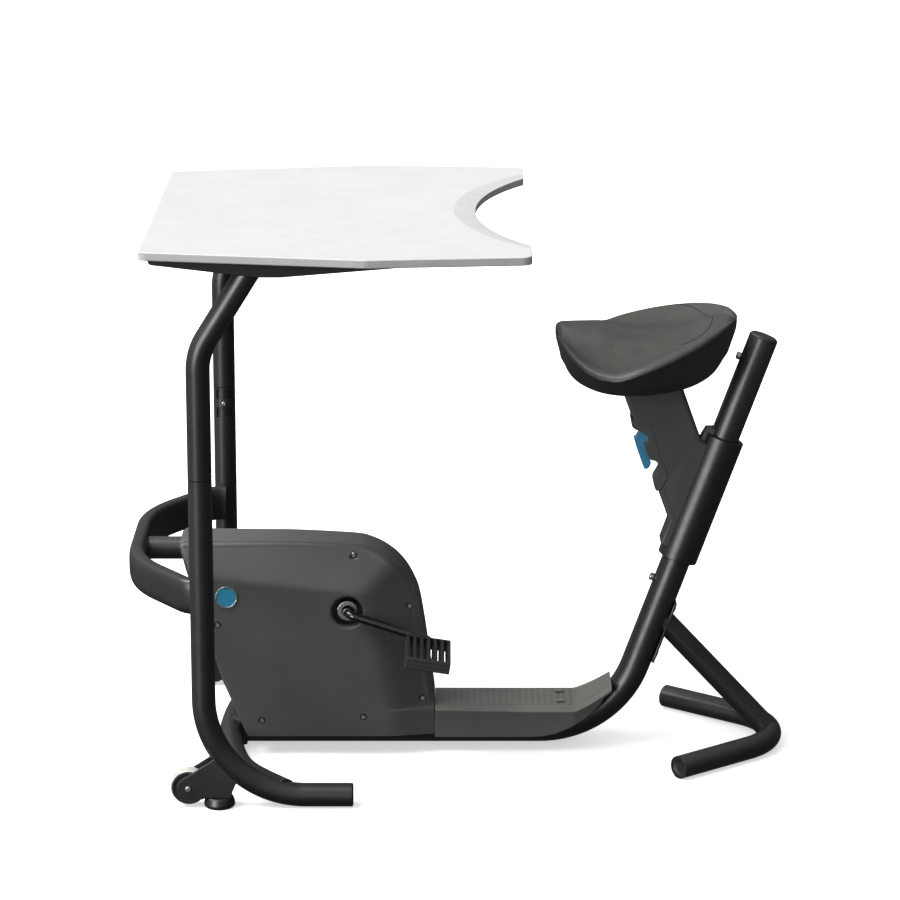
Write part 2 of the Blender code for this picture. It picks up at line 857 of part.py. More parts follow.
def loop_shape(name, extra, finish=None):
    """The loop's flat-sided oval swept along its path, this far outside its skin."""
    half_tall = LOOP_TALL / 2 + extra
    half_thick = LOOP_THICK / 2 + extra
    outline = bpy.data.curves.new(name + "_outline", "CURVE")
    outline.dimensions = "2D"
    spline = outline.splines.new("POLY")
    spline.points.add(LOOP_PROFILE_SIDES - 1)
    for i in range(LOOP_PROFILE_SIDES):
        turn = 2 * math.pi * (i + 0.5) / LOOP_PROFILE_SIDES
        x = half_thick * math.copysign(abs(math.cos(turn)) ** LOOP_SQUARENESS, math.cos(turn))
        y = half_tall * math.copysign(abs(math.sin(turn)) ** LOOP_SQUARENESS, math.sin(turn))
        spline.points[i].co = (x, y, 0.0, 1.0)
    spline.use_cyclic_u = True
    guide = link_object(name + "_outline", outline, None, True)
    curve = line_curve(name, loop_path(), 0.0, 4, True)
    curve.twist_mode = "Z_UP"
    curve.bevel_mode = "OBJECT"
    curve.bevel_object = guide
    loop = made_mesh(link_object(name, curve, finish, finish is None))
    bpy.data.objects.remove(guide, do_unlink=True)
    smooth(loop)
    return loop


def open_ends(obj, end_x):
    """Takes off the end faces of a bar that ends at this X, which leaves its skin."""
    edit = bmesh.new()
    edit.from_mesh(obj.data)
    ends = [face for face in edit.faces if min(v.co.x for v in face.verts) > end_x - GAP]
    bmesh.ops.delete(edit, geom=ends, context="FACES")
    edit.to_mesh(obj.data)
    edit.free()


def make_loop():
    """The hollow loop: an open skin with its wall turned inwards."""
    loop = loop_shape("front_loop", 0.0, black_paint())
    open_ends(loop, LOOP_END_X)
    skin = loop.modifiers.new("wall", "SOLIDIFY")
    skin.thickness = LOOP_WALL
    skin.offset = -1.0


def make_head_post():
    """The leaning post inside the housing, with the tube that carries the loop."""
    top = Vector((FRONT_POST_TOP_X, 0.0, LOOP_HEIGHT))
    foot = Vector((FRONT_POST_FOOT_X, 0.0, BEAM_CENTRE))
    post = rod("head_post", [foot, top], POST_RADIUS, black_paint())
    start = (LOOP_FRONT_X, 0.0, LOOP_HEIGHT)
    end = (FRONT_POST_TOP_X + TUBE_RADIUS, 0.0, LOOP_HEIGHT)
    arm = rod("join_head_arm", [start, end], TUBE_RADIUS, cutter=True)
    bore = [foot, top]
    inside = rod("cut_head_bore", bore, POST_RADIUS - POST_WALL, cutter=True)
    deep = (end[0] - TUBE_WALL, 0.0, LOOP_HEIGHT)
    arm_inside = rod("cut_arm_bore", [start, deep], TUBE_RADIUS - TUBE_WALL, cutter=True)
    join(post, arm)
    cut(post, inside, arm_inside)
    cut(post, bpy.data.objects["cut_beam"], loop_shape("cut_loop", GAP))
    return post


def make_rear_stand():
    base = tube("rear_base_tube", rear_path(), TUBE_RADIUS, TUBE_WALL, black_paint())
    splay = rear_splay()
    plug = (TUBE_RADIUS - TUBE_WALL) * math.cos(math.pi / TUBE_SIDES) - GAP
    profile = disc_profile(plug, -CAP_DEPTH, -REAR_CAP_RECESS, 0.001)
    for side, sign in (("left", -1.0), ("right", 1.0)):
        outward = (-math.cos(splay), sign * math.sin(splay), 0.0)
        end = (REAR_END_X, sign * REAR_END_HALF, TUBE_RADIUS)
        place_cap("rear_cap_" + side, profile, end, outward, TUBE_SIDES)
    cut_base = rod(
        "cut_rear_base", rear_path(), outer_radius(TUBE_RADIUS + GAP, TUBE_SIDES), cutter=True
    )
    foot = Vector((REAR_APEX_X - TUBE_RADIUS, 0.0, TUBE_RADIUS))
    strut = rod("rear_strut", [mast_point(STRUT_MAST_HEIGHT), foot], TUBE_RADIUS, black_paint())
    plate = box(
        "join_plate",
        (-PLATE_THICKNESS / 2, -PLATE_WIDTH / 2, -PLATE_LENGTH / 2),
        (PLATE_THICKNESS / 2, PLATE_WIDTH / 2, PLATE_LENGTH / 2),
        cutter=True,
    )
    plate.rotation_euler = (0.0, MAST_LEAN, 0.0)
    plate.location = mast_point(PLATE_CENTRE_HEIGHT, -BEAM_RADIUS - GAP)
    bore = rod(
        "cut_strut_bore", [mast_point(STRUT_MAST_HEIGHT), foot], TUBE_RADIUS - TUBE_WALL,
        cutter=True,
    )
    cut(strut, bore)
    join(strut, plate)
    cut(strut, bpy.data.objects["cut_beam"], cut_base)
    face = BEAM_RADIUS + GAP + PLATE_THICKNESS / 2
    for name, height in plate_bolts().items():
        hole = across_mast(
            "cut_plate_" + name, disc_profile(PLATE_BOLT_RADIUS + GAP, -0.02, 0.02),
            height, face, -1.0, cutter=True,
        )
        cut(strut, hole)
        profile = bolt_profile(
            PLATE_BOLT_RADIUS, PLATE_BOLT_HEAD, PLATE_BOLT_HEAD_HEIGHT, PLATE_THICKNESS + 0.004
        )
        bolt = across_mast(name, profile, height, face, -1.0, bright_steel())
        smooth(bolt)
    return base


# Wheels and levelling feet

def bracket_outline():
    """Side view of the wheel bracket, from the wheel's axle back to the leg."""
    start = math.pi / 2 + CHEEK_TOP_SLOPE
    lobe = arc((WHEEL_X, WHEEL_CENTRE), CHEEK_LOBE_RADIUS, start, math.radians(262.0), 7)
    top_run = UPRIGHT_X + CHEEK_REACH - lobe[0][0]
    rest = [
        (WHEEL_X + 0.026, SHELF_BOTTOM - 0.004),
        (WHEEL_X + 0.038, SHELF_BOTTOM),
        (SHELF_END_X, SHELF_BOTTOM),
        (SHELF_END_X + 0.002, SHELF_BOTTOM + 0.013),
        (SHELF_END_X + 0.0102, SHELF_BOTTOM + 0.0315),
        (SHELF_END_X + 0.024, SHELF_BOTTOM + 0.051),
        (lobe[0][0] + top_run, lobe[0][1] + top_run * math.tan(CHEEK_TOP_SLOPE)),
    ]
    return lobe + rest


def make_bracket(side, sign):
    """Two cheek plates joined by a shelf, open above and notched round the leg."""
    outer = WHEEL_WIDTH / 2 + CHEEK_GAP + CHEEK_THICKNESS
    y = sign * (UPRIGHT_Y - WHEEL_INSET)
    bracket = prism("wheel_bracket_" + side, [bracket_outline()], 2 * outer, black_paint())
    bracket.location = (0.0, y, 0.0)
    inside = outer - CHEEK_THICKNESS
    hollow = box(
        "cut_bracket_" + side,
        (WHEEL_X - 0.060, y - inside, -0.01),
        (SHELF_START_X, y + inside, 0.20),
        cutter=True,
    )
    over = box(
        "cut_bracket_over_" + side,
        (SHELF_START_X - 0.002, y - inside, SHELF_BOTTOM + SHELF_THICKNESS),
        (SHELF_END_X + 0.10, y + inside, 0.20),
        cutter=True,
    )
    cut(bracket, hollow, over, bpy.data.objects["cut_leg_" + side])
    stem_hole = turned(
        "cut_stem_" + side, disc_profile(LEVEL_STEM_RADIUS + RUNNING_GAP, -0.02, 0.02), None, 12,
        True,
    )
    stem_hole.location = (LEVEL_FOOT_X, sign * UPRIGHT_Y, SHELF_BOTTOM)
    axle_hole = turned(
        "cut_axle_" + side, disc_profile(WHEEL_BOLT_RADIUS + GAP, -0.03, 0.03), None, 12, True
    )
    along_y(axle_hole, WHEEL_X, y, WHEEL_CENTRE)
    cut(bracket, stem_hole, axle_hole)
    return bracket


def make_wheel(side, sign):
    half = WHEEL_WIDTH / 2
    y = sign * (UPRIGHT_Y - WHEEL_INSET)
    bore = outer_radius(WHEEL_BOLT_RADIUS + RUNNING_GAP, 18)
    profile = [
        (WHEEL_RADIUS - 0.004, half * 0.8),
        (WHEEL_RADIUS, half * 0.45),
        (WHEEL_RADIUS, -half * 0.45),
        (WHEEL_RADIUS - 0.004, -half * 0.8),
        (WHEEL_RADIUS - 0.009, -half * 0.6),
        (WHEEL_HUB_RADIUS, -half * 0.6),
        (WHEEL_HUB_RADIUS, -half),
        (bore, -half),
        (bore, half),
        (WHEEL_HUB_RADIUS, half),
        (WHEEL_HUB_RADIUS, half * 0.6),
        (WHEEL_RADIUS - 0.009, half * 0.6),
    ]
    hub = pivot("wheel_axis_" + side, (WHEEL_X, y, WHEEL_CENTRE))
    wheel = turned("wheel_" + side, profile, rubber(), 18)
    along_y(wheel, WHEEL_X, y, WHEEL_CENTRE)
    smooth(wheel)
    attach(wheel, hub)
    reach = half + CHEEK_GAP + CHEEK_THICKNESS + GAP
    bolt = [
        (0.0, reach + 0.004),
        (WHEEL_BOLT_HEAD, reach + 0.004),
        (WHEEL_BOLT_HEAD, reach),
        (WHEEL_BOLT_RADIUS, reach),
        (WHEEL_BOLT_RADIUS, -reach - 0.002),
        (0.0, -reach - 0.002),
    ]
    axle = turned("wheel_axle_" + side, bolt, bright_steel(), 12)
    along_y(axle, WHEEL_X, y, WHEEL_CENTRE)
    if sign < 0.0:
        axle.rotation_euler = (math.pi / 2, 0.0, 0.0)
    return wheel


def make_level_foot(side, sign):
    """A rubber foot on a threaded stem, screwed fully up against the bracket's shelf."""
    top = SHELF_BOTTOM - GAP
    profile = [
        (0.0, LEVEL_STEM_TOP),
        (LEVEL_STEM_RADIUS, LEVEL_STEM_TOP),
        (LEVEL_STEM_RADIUS, top),
        (LEVEL_FOOT_RADIUS * 0.35, top),
        (LEVEL_FOOT_RADIUS * 0.40, top - 0.002),
        (LEVEL_FOOT_RADIUS * 0.80, top - 0.0035),
        (LEVEL_FOOT_RADIUS * 0.93, top * 0.62),
        (LEVEL_FOOT_RADIUS, top * 0.30),
        (LEVEL_FOOT_RADIUS * 0.97, top * 0.10),
        (LEVEL_FOOT_RADIUS * 0.87, 0.0),
        (0.0, 0.0),
    ]
    foot = turned("level_foot_" + side, profile, rubber(), 14)
    foot.location = (LEVEL_FOOT_X, sign * UPRIGHT_Y, 0.0)
    smooth(foot)
    return foot


# Desk

def bracket_side_outline():
    """Side view of the steel channel under the desktop, deepest over the uprights."""
    under = DESK_TOP - DESK_THICKNESS - GAP
    front = DESK_FRONT_X + BRACKET_FRONT_SETBACK
    return [
        (front, under),
        (front, under - BRACKET_NOSE * 0.6),
        (front + 0.005, under - BRACKET_NOSE),
        (BRACKET_DEEP_X[0], under - BRACKET_DEPTH),
        (BRACKET_DEEP_X[1], under - BRACKET_DEPTH),
        (BRACKET_REAR_X, under - BRACKET_TAIL),
        (BRACKET_REAR_X, under),
    ]


def upright_path(sign):
    y = sign * UPRIGHT_Y
    top = DESK_TOP - DESK_THICKNESS - BRACKET_DEPTH / 2
    lean_x = UPRIGHT_X + (top - UPRIGHT_BEND_HEIGHT) * math.tan(UPRIGHT_LEAN)
    bend = rounded_path(
        [(UPRIGHT_X, y, SEAM_HEIGHT), (UPRIGHT_X, y, UPRIGHT_BEND_HEIGHT), (lean_x, y, top)],
        [UPRIGHT_BEND_RADIUS],
    )
    spigot = [
        Vector((UPRIGHT_X, y, SEAM_HEIGHT - SPIGOT_LENGTH)),
        Vector((UPRIGHT_X, y, SEAM_HEIGHT + GAP)),
        Vector((UPRIGHT_X, y, SEAM_HEIGHT + 2 * GAP)),
    ]
    spigot_radius = (TUBE_RADIUS - TUBE_WALL) * math.cos(math.pi / TUBE_SIDES) - GAP
    thin = spigot_radius / TUBE_RADIUS
    points = spigot + bend[1:]
    radii = [thin, thin] + [1.0] * (len(points) - 2)
    return points, radii


def make_upright(side, sign, carrier):
    points, radii = upright_path(sign)
    upright = tube(
        "upper_upright_" + side, points, TUBE_RADIUS, SPIGOT_WALL, black_paint(), radii=radii
    )
    outline = bracket_side_outline()
    space = prism("cut_bracket_space_" + side, [grown(outline, GAP)], BRACKET_WIDTH + 0.02, None, True)
    space.location = (0.0, sign * UPRIGHT_Y, 0.0)
    cut(upright, space)
    attach(upright, carrier)
    return upright


def grown(outline, distance):
    """A flat outline moved outwards by this distance; a negative one moves it inwards."""
    count = len(outline)
    area = 0.0
    for i in range(count):
        (x0, y0), (x1, y1) = outline[i], outline[(i + 1) % count]
        area += x0 * y1 - x1 * y0
    turn = 1.0 if area > 0.0 else -1.0
    moved = []
    for i in range(count):
        before = Vector(outline[i - 1])
        corner = Vector(outline[i])
        after = Vector(outline[(i + 1) % count])
        first = (corner - before).normalized()
        second = (after - corner).normalized()
        normal_a = Vector((first.y, -first.x)) * turn
        normal_b = Vector((second.y, -second.x)) * turn
        middle = (normal_a + normal_b).normalized()
        reach = distance / max(0.25, middle.dot(normal_a))
        point = corner + middle * reach
        moved.append((point.x, point.y))
    return moved


def make_desk_bracket(side, sign, carrier):
    bracket = prism(
        "desk_bracket_" + side, [bracket_side_outline()], BRACKET_WIDTH, black_paint()
    )
    bracket.location = (0.0, sign * UPRIGHT_Y, 0.0)
    inner = [(x, z) for x, z in grown(bracket_side_outline(), -BRACKET_WALL)]
    top = DESK_TOP
    inner[0] = (inner[0][0], top)
    inner[-1] = (inner[-1][0], top)
    hollow = prism(
        "cut_channel_" + side, [inner], BRACKET_WIDTH - 2 * BRACKET_WALL, None, True
    )
    hollow.location = (0.0, sign * UPRIGHT_Y, 0.0)
    cut(bracket, hollow)
    attach(bracket, carrier)


def make_crossbar(carrier):
    half = UPRIGHT_Y - BRACKET_WIDTH / 2 - GAP
    top = DESK_TOP - DESK_THICKNESS - GAP
    low = (CROSSBAR_X - CROSSBAR_WIDTH / 2, -half, top - CROSSBAR_HEIGHT)
    high = (CROSSBAR_X + CROSSBAR_WIDTH / 2, half, top)
    bar = box("desk_crossbar", low, high, black_paint())
    wall = BRACKET_WALL
    hollow = box(
        "cut_crossbar",
        (low[0] + wall, low[1] - 0.01, low[2] + wall),
        (high[0] - wall, high[1] + 0.01, high[2] + 0.01),
        cutter=True,
    )
    cut(bar, hollow)
    attach(bar, carrier)


def desk_outline():
    """Half of the outline, from the front corner round to the tip, then its mirror."""
    front = (DESK_FRONT_X, DESK_FRONT_HALF)
    kink = (DESK_KINK_X, DESK_KINK_HALF)
    tip = (DESK_TIP_X, DESK_TIP_HALF)
    tip_in = (DESK_TIP_X, 0.0)
    half = round_corner((DESK_FRONT_X, 0.0), front, kink, DESK_CORNER_RADIUS)
    half.append(kink)
    half += round_corner(kink, tip, tip_in, DESK_CORNER_RADIUS)
    return half + [(x, -y) for x, y in reversed(half)]


def make_desktop(carrier):
    top = slab("desktop", desk_outline(), DESK_THICKNESS, DESK_TOP, white_laminate())
    middle = (DESK_TIP_X - CUTOUT_DEPTH + CUTOUT_RADIUS, 0.0)
    belly = turned(
        "cut_belly", disc_profile(CUTOUT_RADIUS, -0.05, 0.05), None, CUTTER_STEPS, True
    )
    belly.location = (middle[0], 0.0, DESK_TOP)
    scoop_x = DESK_TIP_X - CUTOUT_DEPTH - SCOOP_WIDTH + SCOOP_RADIUS
    fall = DESK_THICKNESS
    shrink = fall / math.tan(SCOOP_SLOPE)
    rise = 0.004
    profile = [
        (0.0, rise),
        (SCOOP_RADIUS + rise / math.tan(SCOOP_SLOPE), rise),
        (SCOOP_RADIUS - shrink, -fall),
        (0.0, -fall),
    ]
    scoop = turned("cut_scoop", profile, None, CUTTER_STEPS, True)
    scoop.location = (scoop_x, 0.0, DESK_TOP)
    bevel(top, DESK_EDGE_ROUND, 2)
    cut(top, belly, scoop)
    attach(top, carrier)


def make_desk():
    carrier = pivot("desk_lift_axis", (UPRIGHT_X, 0.0, SEAM_HEIGHT))
    both_sides(lambda side, sign: make_upright(side, sign, carrier))
    both_sides(lambda side, sign: make_desk_bracket(side, sign, carrier))
    make_crossbar(carrier)
    make_desktop(carrier)


# Housing

def housing_outline(inset):
    """Side view of the housing; the inset moves it inwards and opens it below."""
    front = (HOUSING_FRONT_TOP_X, HOUSING_TOP)
    outline = [(HOUSING_FRONT_LOW_X, HOUSING_BOTTOM), (-0.525, 0.174), (-0.603, 0.430)]
    outline += round_corner(outline[-1], front, (-0.380, HOUSING_TOP), 0.008, 2)
    outline += [(-0.380, 0.4855), (-0.272, 0.481), (-0.218, 0.477), (-0.191, 0.470)]
    outline += [(-0.164, 0.4575), (-0.137, 0.438), (-0.114, 0.412), (-0.096, 0.380)]
    outline += [(-0.084, 0.347), (-0.073, 0.285), (-0.054, 0.150)]
    outline += [(HOUSING_REAR_X, 0.117), (HOUSING_REAR_X, HOUSING_BOTTOM)]
    if not inset:
        return outline
    shape = grown(outline, -inset)
    shape[0] = (shape[0][0], HOUSING_BOTTOM - 0.02)
    shape[-1] = (shape[-1][0], HOUSING_BOTTOM - 0.02)
    return shape


def housing_block(name, inset, finish=None, cutter=False):
    """The housing as one solid block, with its upper and rear sides planed off."""
    half = HOUSING_HALF_SIDE - inset
    block = prism(name, [housing_outline(inset)], 2 * half, finish, cutter)
    for side, sign in (("left", -1.0), ("right", 1.0)):
        cut(block, shoulder_wedge(f"{name}_shoulder_{side}", half, sign))
        upper = flank_wedge(f"{name}_flank_{side}", half, HOUSING_REAR_HALF - inset, sign)
        upper.location = (HOUSING_TAPER_X, 0.0, HOUSING_LEDGE - inset)
        upper.rotation_euler = (0.0, -HOUSING_TAPER_LEAN, 0.0)
        lower = flank_wedge(f"{name}_base_{side}", half, STEP_HALF_SIDE - inset, sign)
        lower.location.x = HOUSING_TAPER_X
        cut(block, upper, lower)
    return block


def shoulder_wedge(name, half, sign):
    """A cutter outside a plane that leans in from the crease to the top."""
    slope = (HOUSING_HALF_SIDE - HOUSING_HALF_TOP) / (HOUSING_TOP - HOUSING_CREASE)
    rise = 0.15
    outline = [(half, 0.0), (half + 0.10, 0.0), (half + 0.10, rise), (half - slope * rise, rise)]
    outline = [(sign * y, z) for y, z in outline]
    obj = prism(name, [outline], 1.0, None, True)
    obj.rotation_mode = "ZYX"
    obj.rotation_euler = (math.pi / 2, 0.0, math.pi / 2)
    tilt = Matrix.Rotation(HOUSING_CREASE_FALL, 4, "Y")
    obj.matrix_world = tilt @ Matrix.Rotation(math.pi / 2, 4, "Z") @ Matrix.Rotation(
        math.pi / 2, 4, "X"
    )
    obj.location = (-0.340, 0.0, HOUSING_CREASE)
    return obj


def flank_wedge(name, half, rear_half, sign):
    """A cutter outside a plane that leans in from X = 0 towards the rear."""
    slope = (half - rear_half) / (HOUSING_REAR_X - HOUSING_TAPER_X)
    end = 0.20
    outline = [(0.0, half), (end, half - slope * end), (end, half + 0.1), (0.0, half + 0.1)]
    outline = [(x, sign * y) for x, y in outline]
    wedge = slab(name, outline, FLANK_HEIGHT, 0.0, None, True)
    wedge.data.transform(Matrix.Translation((0.0, 0.0, FLANK_HEIGHT / 2)))
    wedge.location.z = 0.0
    return wedge


def make_housing():
    hollow = housing_block("cut_housing_hollow", HOUSING_WALL, cutter=True)
    window = turned("cut_crank_window", disc_profile(CRANK_HOLE_RADIUS, -0.2, 0.2), None, 24, True)
    along_y(window, CRANK_X, 0.0, CRANK_CENTRE)
    arm = rod(
        "cut_head_arm",
        [(LOOP_FRONT_X, 0.0, LOOP_HEIGHT), (FRONT_POST_TOP_X, 0.0, LOOP_HEIGHT)],
        outer_radius(TUBE_RADIUS + 2 * GAP, TUBE_SIDES), cutter=True,
    )
    for side, sign in (("left", -1.0), ("right", 1.0)):
        shell = housing_block("housing_" + side, 0.0, dark_plastic())
        far = box(
            "cut_half_" + side,
            (-1.0, min(-sign, sign * HOUSING_SPLIT), -0.1),
            (0.2, max(-sign, sign * HOUSING_SPLIT), 0.9),
            cutter=True,
        )
        cut(shell, hollow, far, window, arm)
        cut(shell, bpy.data.objects["cut_beam"], bpy.data.objects["cut_socket_space"])


def make_socket_space():
    """Room in the housing's front wall for the socket on the cross tube."""
    front = CROSS_X + TUBE_RADIUS
    low = (front - SOCKET_WELD, -SOCKET_HALF_WIDTH - GAP, -0.02)
    high = (front + SOCKET_LENGTH + GAP, SOCKET_HALF_WIDTH + GAP, SOCKET_HEIGHT + GAP)
    box("cut_socket_space", low, high, cutter=True)


def make_badge():
    badge = turned(
        "badge", disc_profile(BADGE_RADIUS, 0.0, BADGE_THICKNESS, 0.001), blue_enamel(), 24
    )
    badge.rotation_euler = (math.pi / 2, 0.0, 0.0)
    badge.location = (BADGE_X, -HOUSING_HALF_SIDE - GAP, BADGE_CENTRE)
    smooth(badge)


def step_outline(inset):
    """Side view of the step cover; the inset one runs out below to open it."""
    outline = [
        (HOUSING_REAR_X + GAP, STEP_BOTTOM),
        (0.120, STEP_BOTTOM),
        (0.161, 0.039),
        (0.205, 0.0484),
        (0.241, 0.0626),
        (0.2855, 0.0885),
        (0.321, 0.1144),
        (0.3405, 0.140),
        (STEP_RAMP_X, STEP_RAMP_TOP),
        (STEP_FLAT_END_X, STEP_TOP),
        (HOUSING_REAR_X + GAP, STEP_TOP),
    ]
    if not inset:
        return outline
    shape = grown(outline, -inset)
    shape[0] = (shape[0][0], STEP_BOTTOM - 0.05)
    shape[1] = (shape[1][0], STEP_BOTTOM - 0.05)
    for i in range(2, 8):
        x, z = outline[i]
        shape[i] = (x + 0.03, z - 0.03)
    return shape


def step_block(name, inset, finish=None, cutter=False):
    """The step cover as one solid block, with its long upper edges planed off."""
    half = STEP_HALF_SIDE - inset
    block = prism(name, [step_outline(inset)], 2 * half, finish, cutter)
    top = STEP_TOP - inset
    low = top - STEP_BEVEL_DROP
    for side, sign in (("left", -1.0), ("right", 1.0)):
        outline = [
            (half, low),
            (half + 0.1, low),
            (half + 0.1, top + 0.1),
            (STEP_HALF_TOP - inset, top + 0.1),
            (STEP_HALF_TOP - inset, top),
        ]
        outline = [(sign * y, z) for y, z in outline]
        edge = prism(f"{name}_edge_{side}", [outline], 0.8, None, True)
        edge.rotation_euler = (math.pi / 2, 0.0, math.pi / 2)
        cut(block, edge)
    return block


def make_step_cover():
    cover = step_block("step_cover", 0.0, grey_plastic())
    hollow = step_block("cut_step_hollow", STEP_WALL, cutter=True)
    cut(cover, hollow, bpy.data.objects["cut_beam"])


# Drive

def make_crank(axis):
    left_x, left_z = pedal_centre(-1.0)
    right_x, right_z = pedal_centre(1.0)
    corners = [
        (left_x, -CRANK_END_Y, left_z),
        (left_x, -CRANK_KNEE_Y, left_z),
        (CRANK_X, -CRANK_AXLE_HALF, CRANK_CENTRE),
        (CRANK_X, CRANK_AXLE_HALF, CRANK_CENTRE),
        (right_x, CRANK_KNEE_Y, right_z),
        (right_x, CRANK_END_Y, right_z),
    ]
    bends = [0.010, 0.020, 0.020, 0.010]
    points = rounded_path(corners, bends, math.radians(30.0))
    crank = rod("crank", points, CRANK_ROD_RADIUS, black_paint(), 12)
    attach(crank, axis)


def make_pulley(axis):
    bore = outer_radius(CRANK_ROD_RADIUS + GAP, 32)
    half = PULLEY_WIDTH / 2
    web = PULLEY_WEB / 2
    rim = PULLEY_RADIUS - PULLEY_RIM
    hub_top = HUB_END_Y - PULLEY_Y
    profile = [
        (PULLEY_RADIUS, half),
        (PULLEY_RADIUS, -half),
        (rim, -half),
        (rim, -web),
        (PULLEY_HUB_RADIUS, -web),
        (PULLEY_HUB_RADIUS, -half),
        (bore, -half),
        (bore, hub_top),
        (PULLEY_HUB_RADIUS - 0.004, hub_top),
        (PULLEY_HUB_RADIUS, hub_top - 0.004),
        (PULLEY_HUB_RADIUS, web),
        (rim, web),
        (rim, half),
    ]
    pulley = turned("drive_pulley", profile, black_plastic(), 24)
    along_y(pulley, CRANK_X, PULLEY_Y, CRANK_CENTRE)
    smooth(pulley)
    attach(pulley, axis)


def make_bottom_bracket():
    """The crank's bearing shell on its post, welded to the beam."""
    shell = rod(
        "crank_bearing_shell",
        [(CRANK_X, SHELL_LEFT_Y, CRANK_CENTRE), (CRANK_X, SHELL_RIGHT_Y, CRANK_CENTRE)],
        SHELL_RADIUS, black_paint(), 20,
    )
    post = rod(
        "join_crank_post",
        [(CRANK_X, 0.0, BEAM_CENTRE), (CRANK_X, 0.0, CRANK_CENTRE)],
        POST_RADIUS, cutter=True,
    )
    bore = rod(
        "cut_crank_bore",
        [(CRANK_X, SHELL_LEFT_Y - 0.01, CRANK_CENTRE), (CRANK_X, SHELL_RIGHT_Y + 0.01, CRANK_CENTRE)],
        SHELL_RADIUS - SHELL_WALL, sides=20, cutter=True,
    )
    post_bore = rod(
        "cut_post_bore",
        [(CRANK_X, 0.0, BEAM_CENTRE), (CRANK_X, 0.0, CRANK_CENTRE)],
        POST_RADIUS - POST_WALL, cutter=True,
    )
    join(shell, post)
    cut(shell, post_bore, bore, bpy.data.objects["cut_beam"])
    plug = (SHELL_RADIUS - SHELL_WALL) * math.cos(math.pi / 20) - GAP
    inner = outer_radius(CRANK_ROD_RADIUS + RUNNING_GAP, 20)
    profile = [
        (SHELL_RADIUS, CUP_FLANGE),
        (SHELL_RADIUS, GAP),
        (plug, GAP),
        (plug, -0.016),
        (inner, -0.016),
        (inner, CUP_FLANGE),
    ]
    for side, y, turn in (("left", SHELL_LEFT_Y, math.pi / 2), ("right", SHELL_RIGHT_Y, -math.pi / 2)):
        cup = turned("bearing_cup_" + side, profile, bright_steel(), 16)
        cup.rotation_euler = (turn, 0.0, 0.0)
        cup.location = (CRANK_X, y, CRANK_CENTRE)
        smooth(cup)


def belt_loop(extra):
    """The outline round both pulleys, this far outside their rims."""
    big = (CRANK_X, CRANK_CENTRE)
    small = (FLYWHEEL_X, FLYWHEEL_CENTRE)
    run = Vector((small[0] - big[0], small[1] - big[1]))
    heading = math.atan2(run.y, run.x)
    tilt = math.acos((PULLEY_RADIUS - SMALL_PULLEY_RADIUS) / run.length)
    around_big = arc(
        big, PULLEY_RADIUS + extra, heading + tilt, heading + 2 * math.pi - tilt,
        BELT_ARC_STEPS,
    )
    around_small = arc(
        small, SMALL_PULLEY_RADIUS + extra, heading - tilt, heading + tilt, BELT_ARC_STEPS // 2
    )
    return around_big + around_small


def make_belt():
    step = 2 * math.pi / BELT_ARC_STEPS / 1.4
    inner = GAP + PULLEY_RADIUS * (1 - math.cos(step / 2)) * 1.1
    loops = [belt_loop(inner + BELT_THICKNESS), belt_loop(inner)]
    belt = prism("drive_belt", loops, BELT_WIDTH, rubber())
    belt.location = (0.0, PULLEY_Y, 0.0)


def make_flywheel(axis):
    rim = FLYWHEEL_RIM_WIDTH / 2
    web = FLYWHEEL_WEB / 2
    inner = FLYWHEEL_RADIUS - FLYWHEEL_RIM_DEPTH
    bore = outer_radius(SHAFT_RADIUS + GAP, 28)
    profile = [
        (FLYWHEEL_RADIUS - 0.002, rim),
        (FLYWHEEL_RADIUS, rim - 0.002),
        (FLYWHEEL_RADIUS, -rim + 0.002),
        (FLYWHEEL_RADIUS - 0.002, -rim),
        (inner, -rim),
        (inner, -web),
        (FLYWHEEL_HUB_RADIUS, -web),
        (FLYWHEEL_HUB_RADIUS, -rim),
        (bore, -rim),
        (bore, rim),
        (FLYWHEEL_HUB_RADIUS, rim),
        (FLYWHEEL_HUB_RADIUS, web),
        (inner, web),
        (inner, rim),
    ]
    wheel = turned("flywheel", profile, cast_iron(), 24)
    along_y(wheel, FLYWHEEL_X, FLYWHEEL_Y, FLYWHEEL_CENTRE)
    smooth(wheel)
    attach(wheel, axis)
    end = FLYWHEEL_Y - rim - 0.004
    shaft_end = PULLEY_Y + PULLEY_WIDTH / 2
    profile = [
        (0.0, shaft_end),
        (SMALL_PULLEY_RADIUS, shaft_end),
        (SMALL_PULLEY_RADIUS, shaft_end - PULLEY_WIDTH),
        (0.011, shaft_end - PULLEY_WIDTH),
        (0.011, FORK_HALF + FORK_PLATE + 0.001),
        (SHAFT_RADIUS, FORK_HALF + FORK_PLATE + 0.001),
        (SHAFT_RADIUS, end),
        (0.0, end),
    ]
    shaft = turned("flywheel_shaft", profile, bright_steel(), 20)
    along_y(shaft, FLYWHEEL_X, 0.0, FLYWHEEL_CENTRE)
    attach(shaft, axis)


def fork_outline():
    """Side view of a fork plate: round about the shaft, and narrower down to the beam."""
    foot = FORK_FOOT_HALF
    first = math.radians(15.0)
    lobe = arc((FLYWHEEL_X, FLYWHEEL_CENTRE), FORK_TOP_RADIUS, first, math.pi - first, 6)
    return [(FLYWHEEL_X + foot, BEAM_CENTRE)] + lobe + [(FLYWHEEL_X - 0.4 * foot, BEAM_CENTRE)]


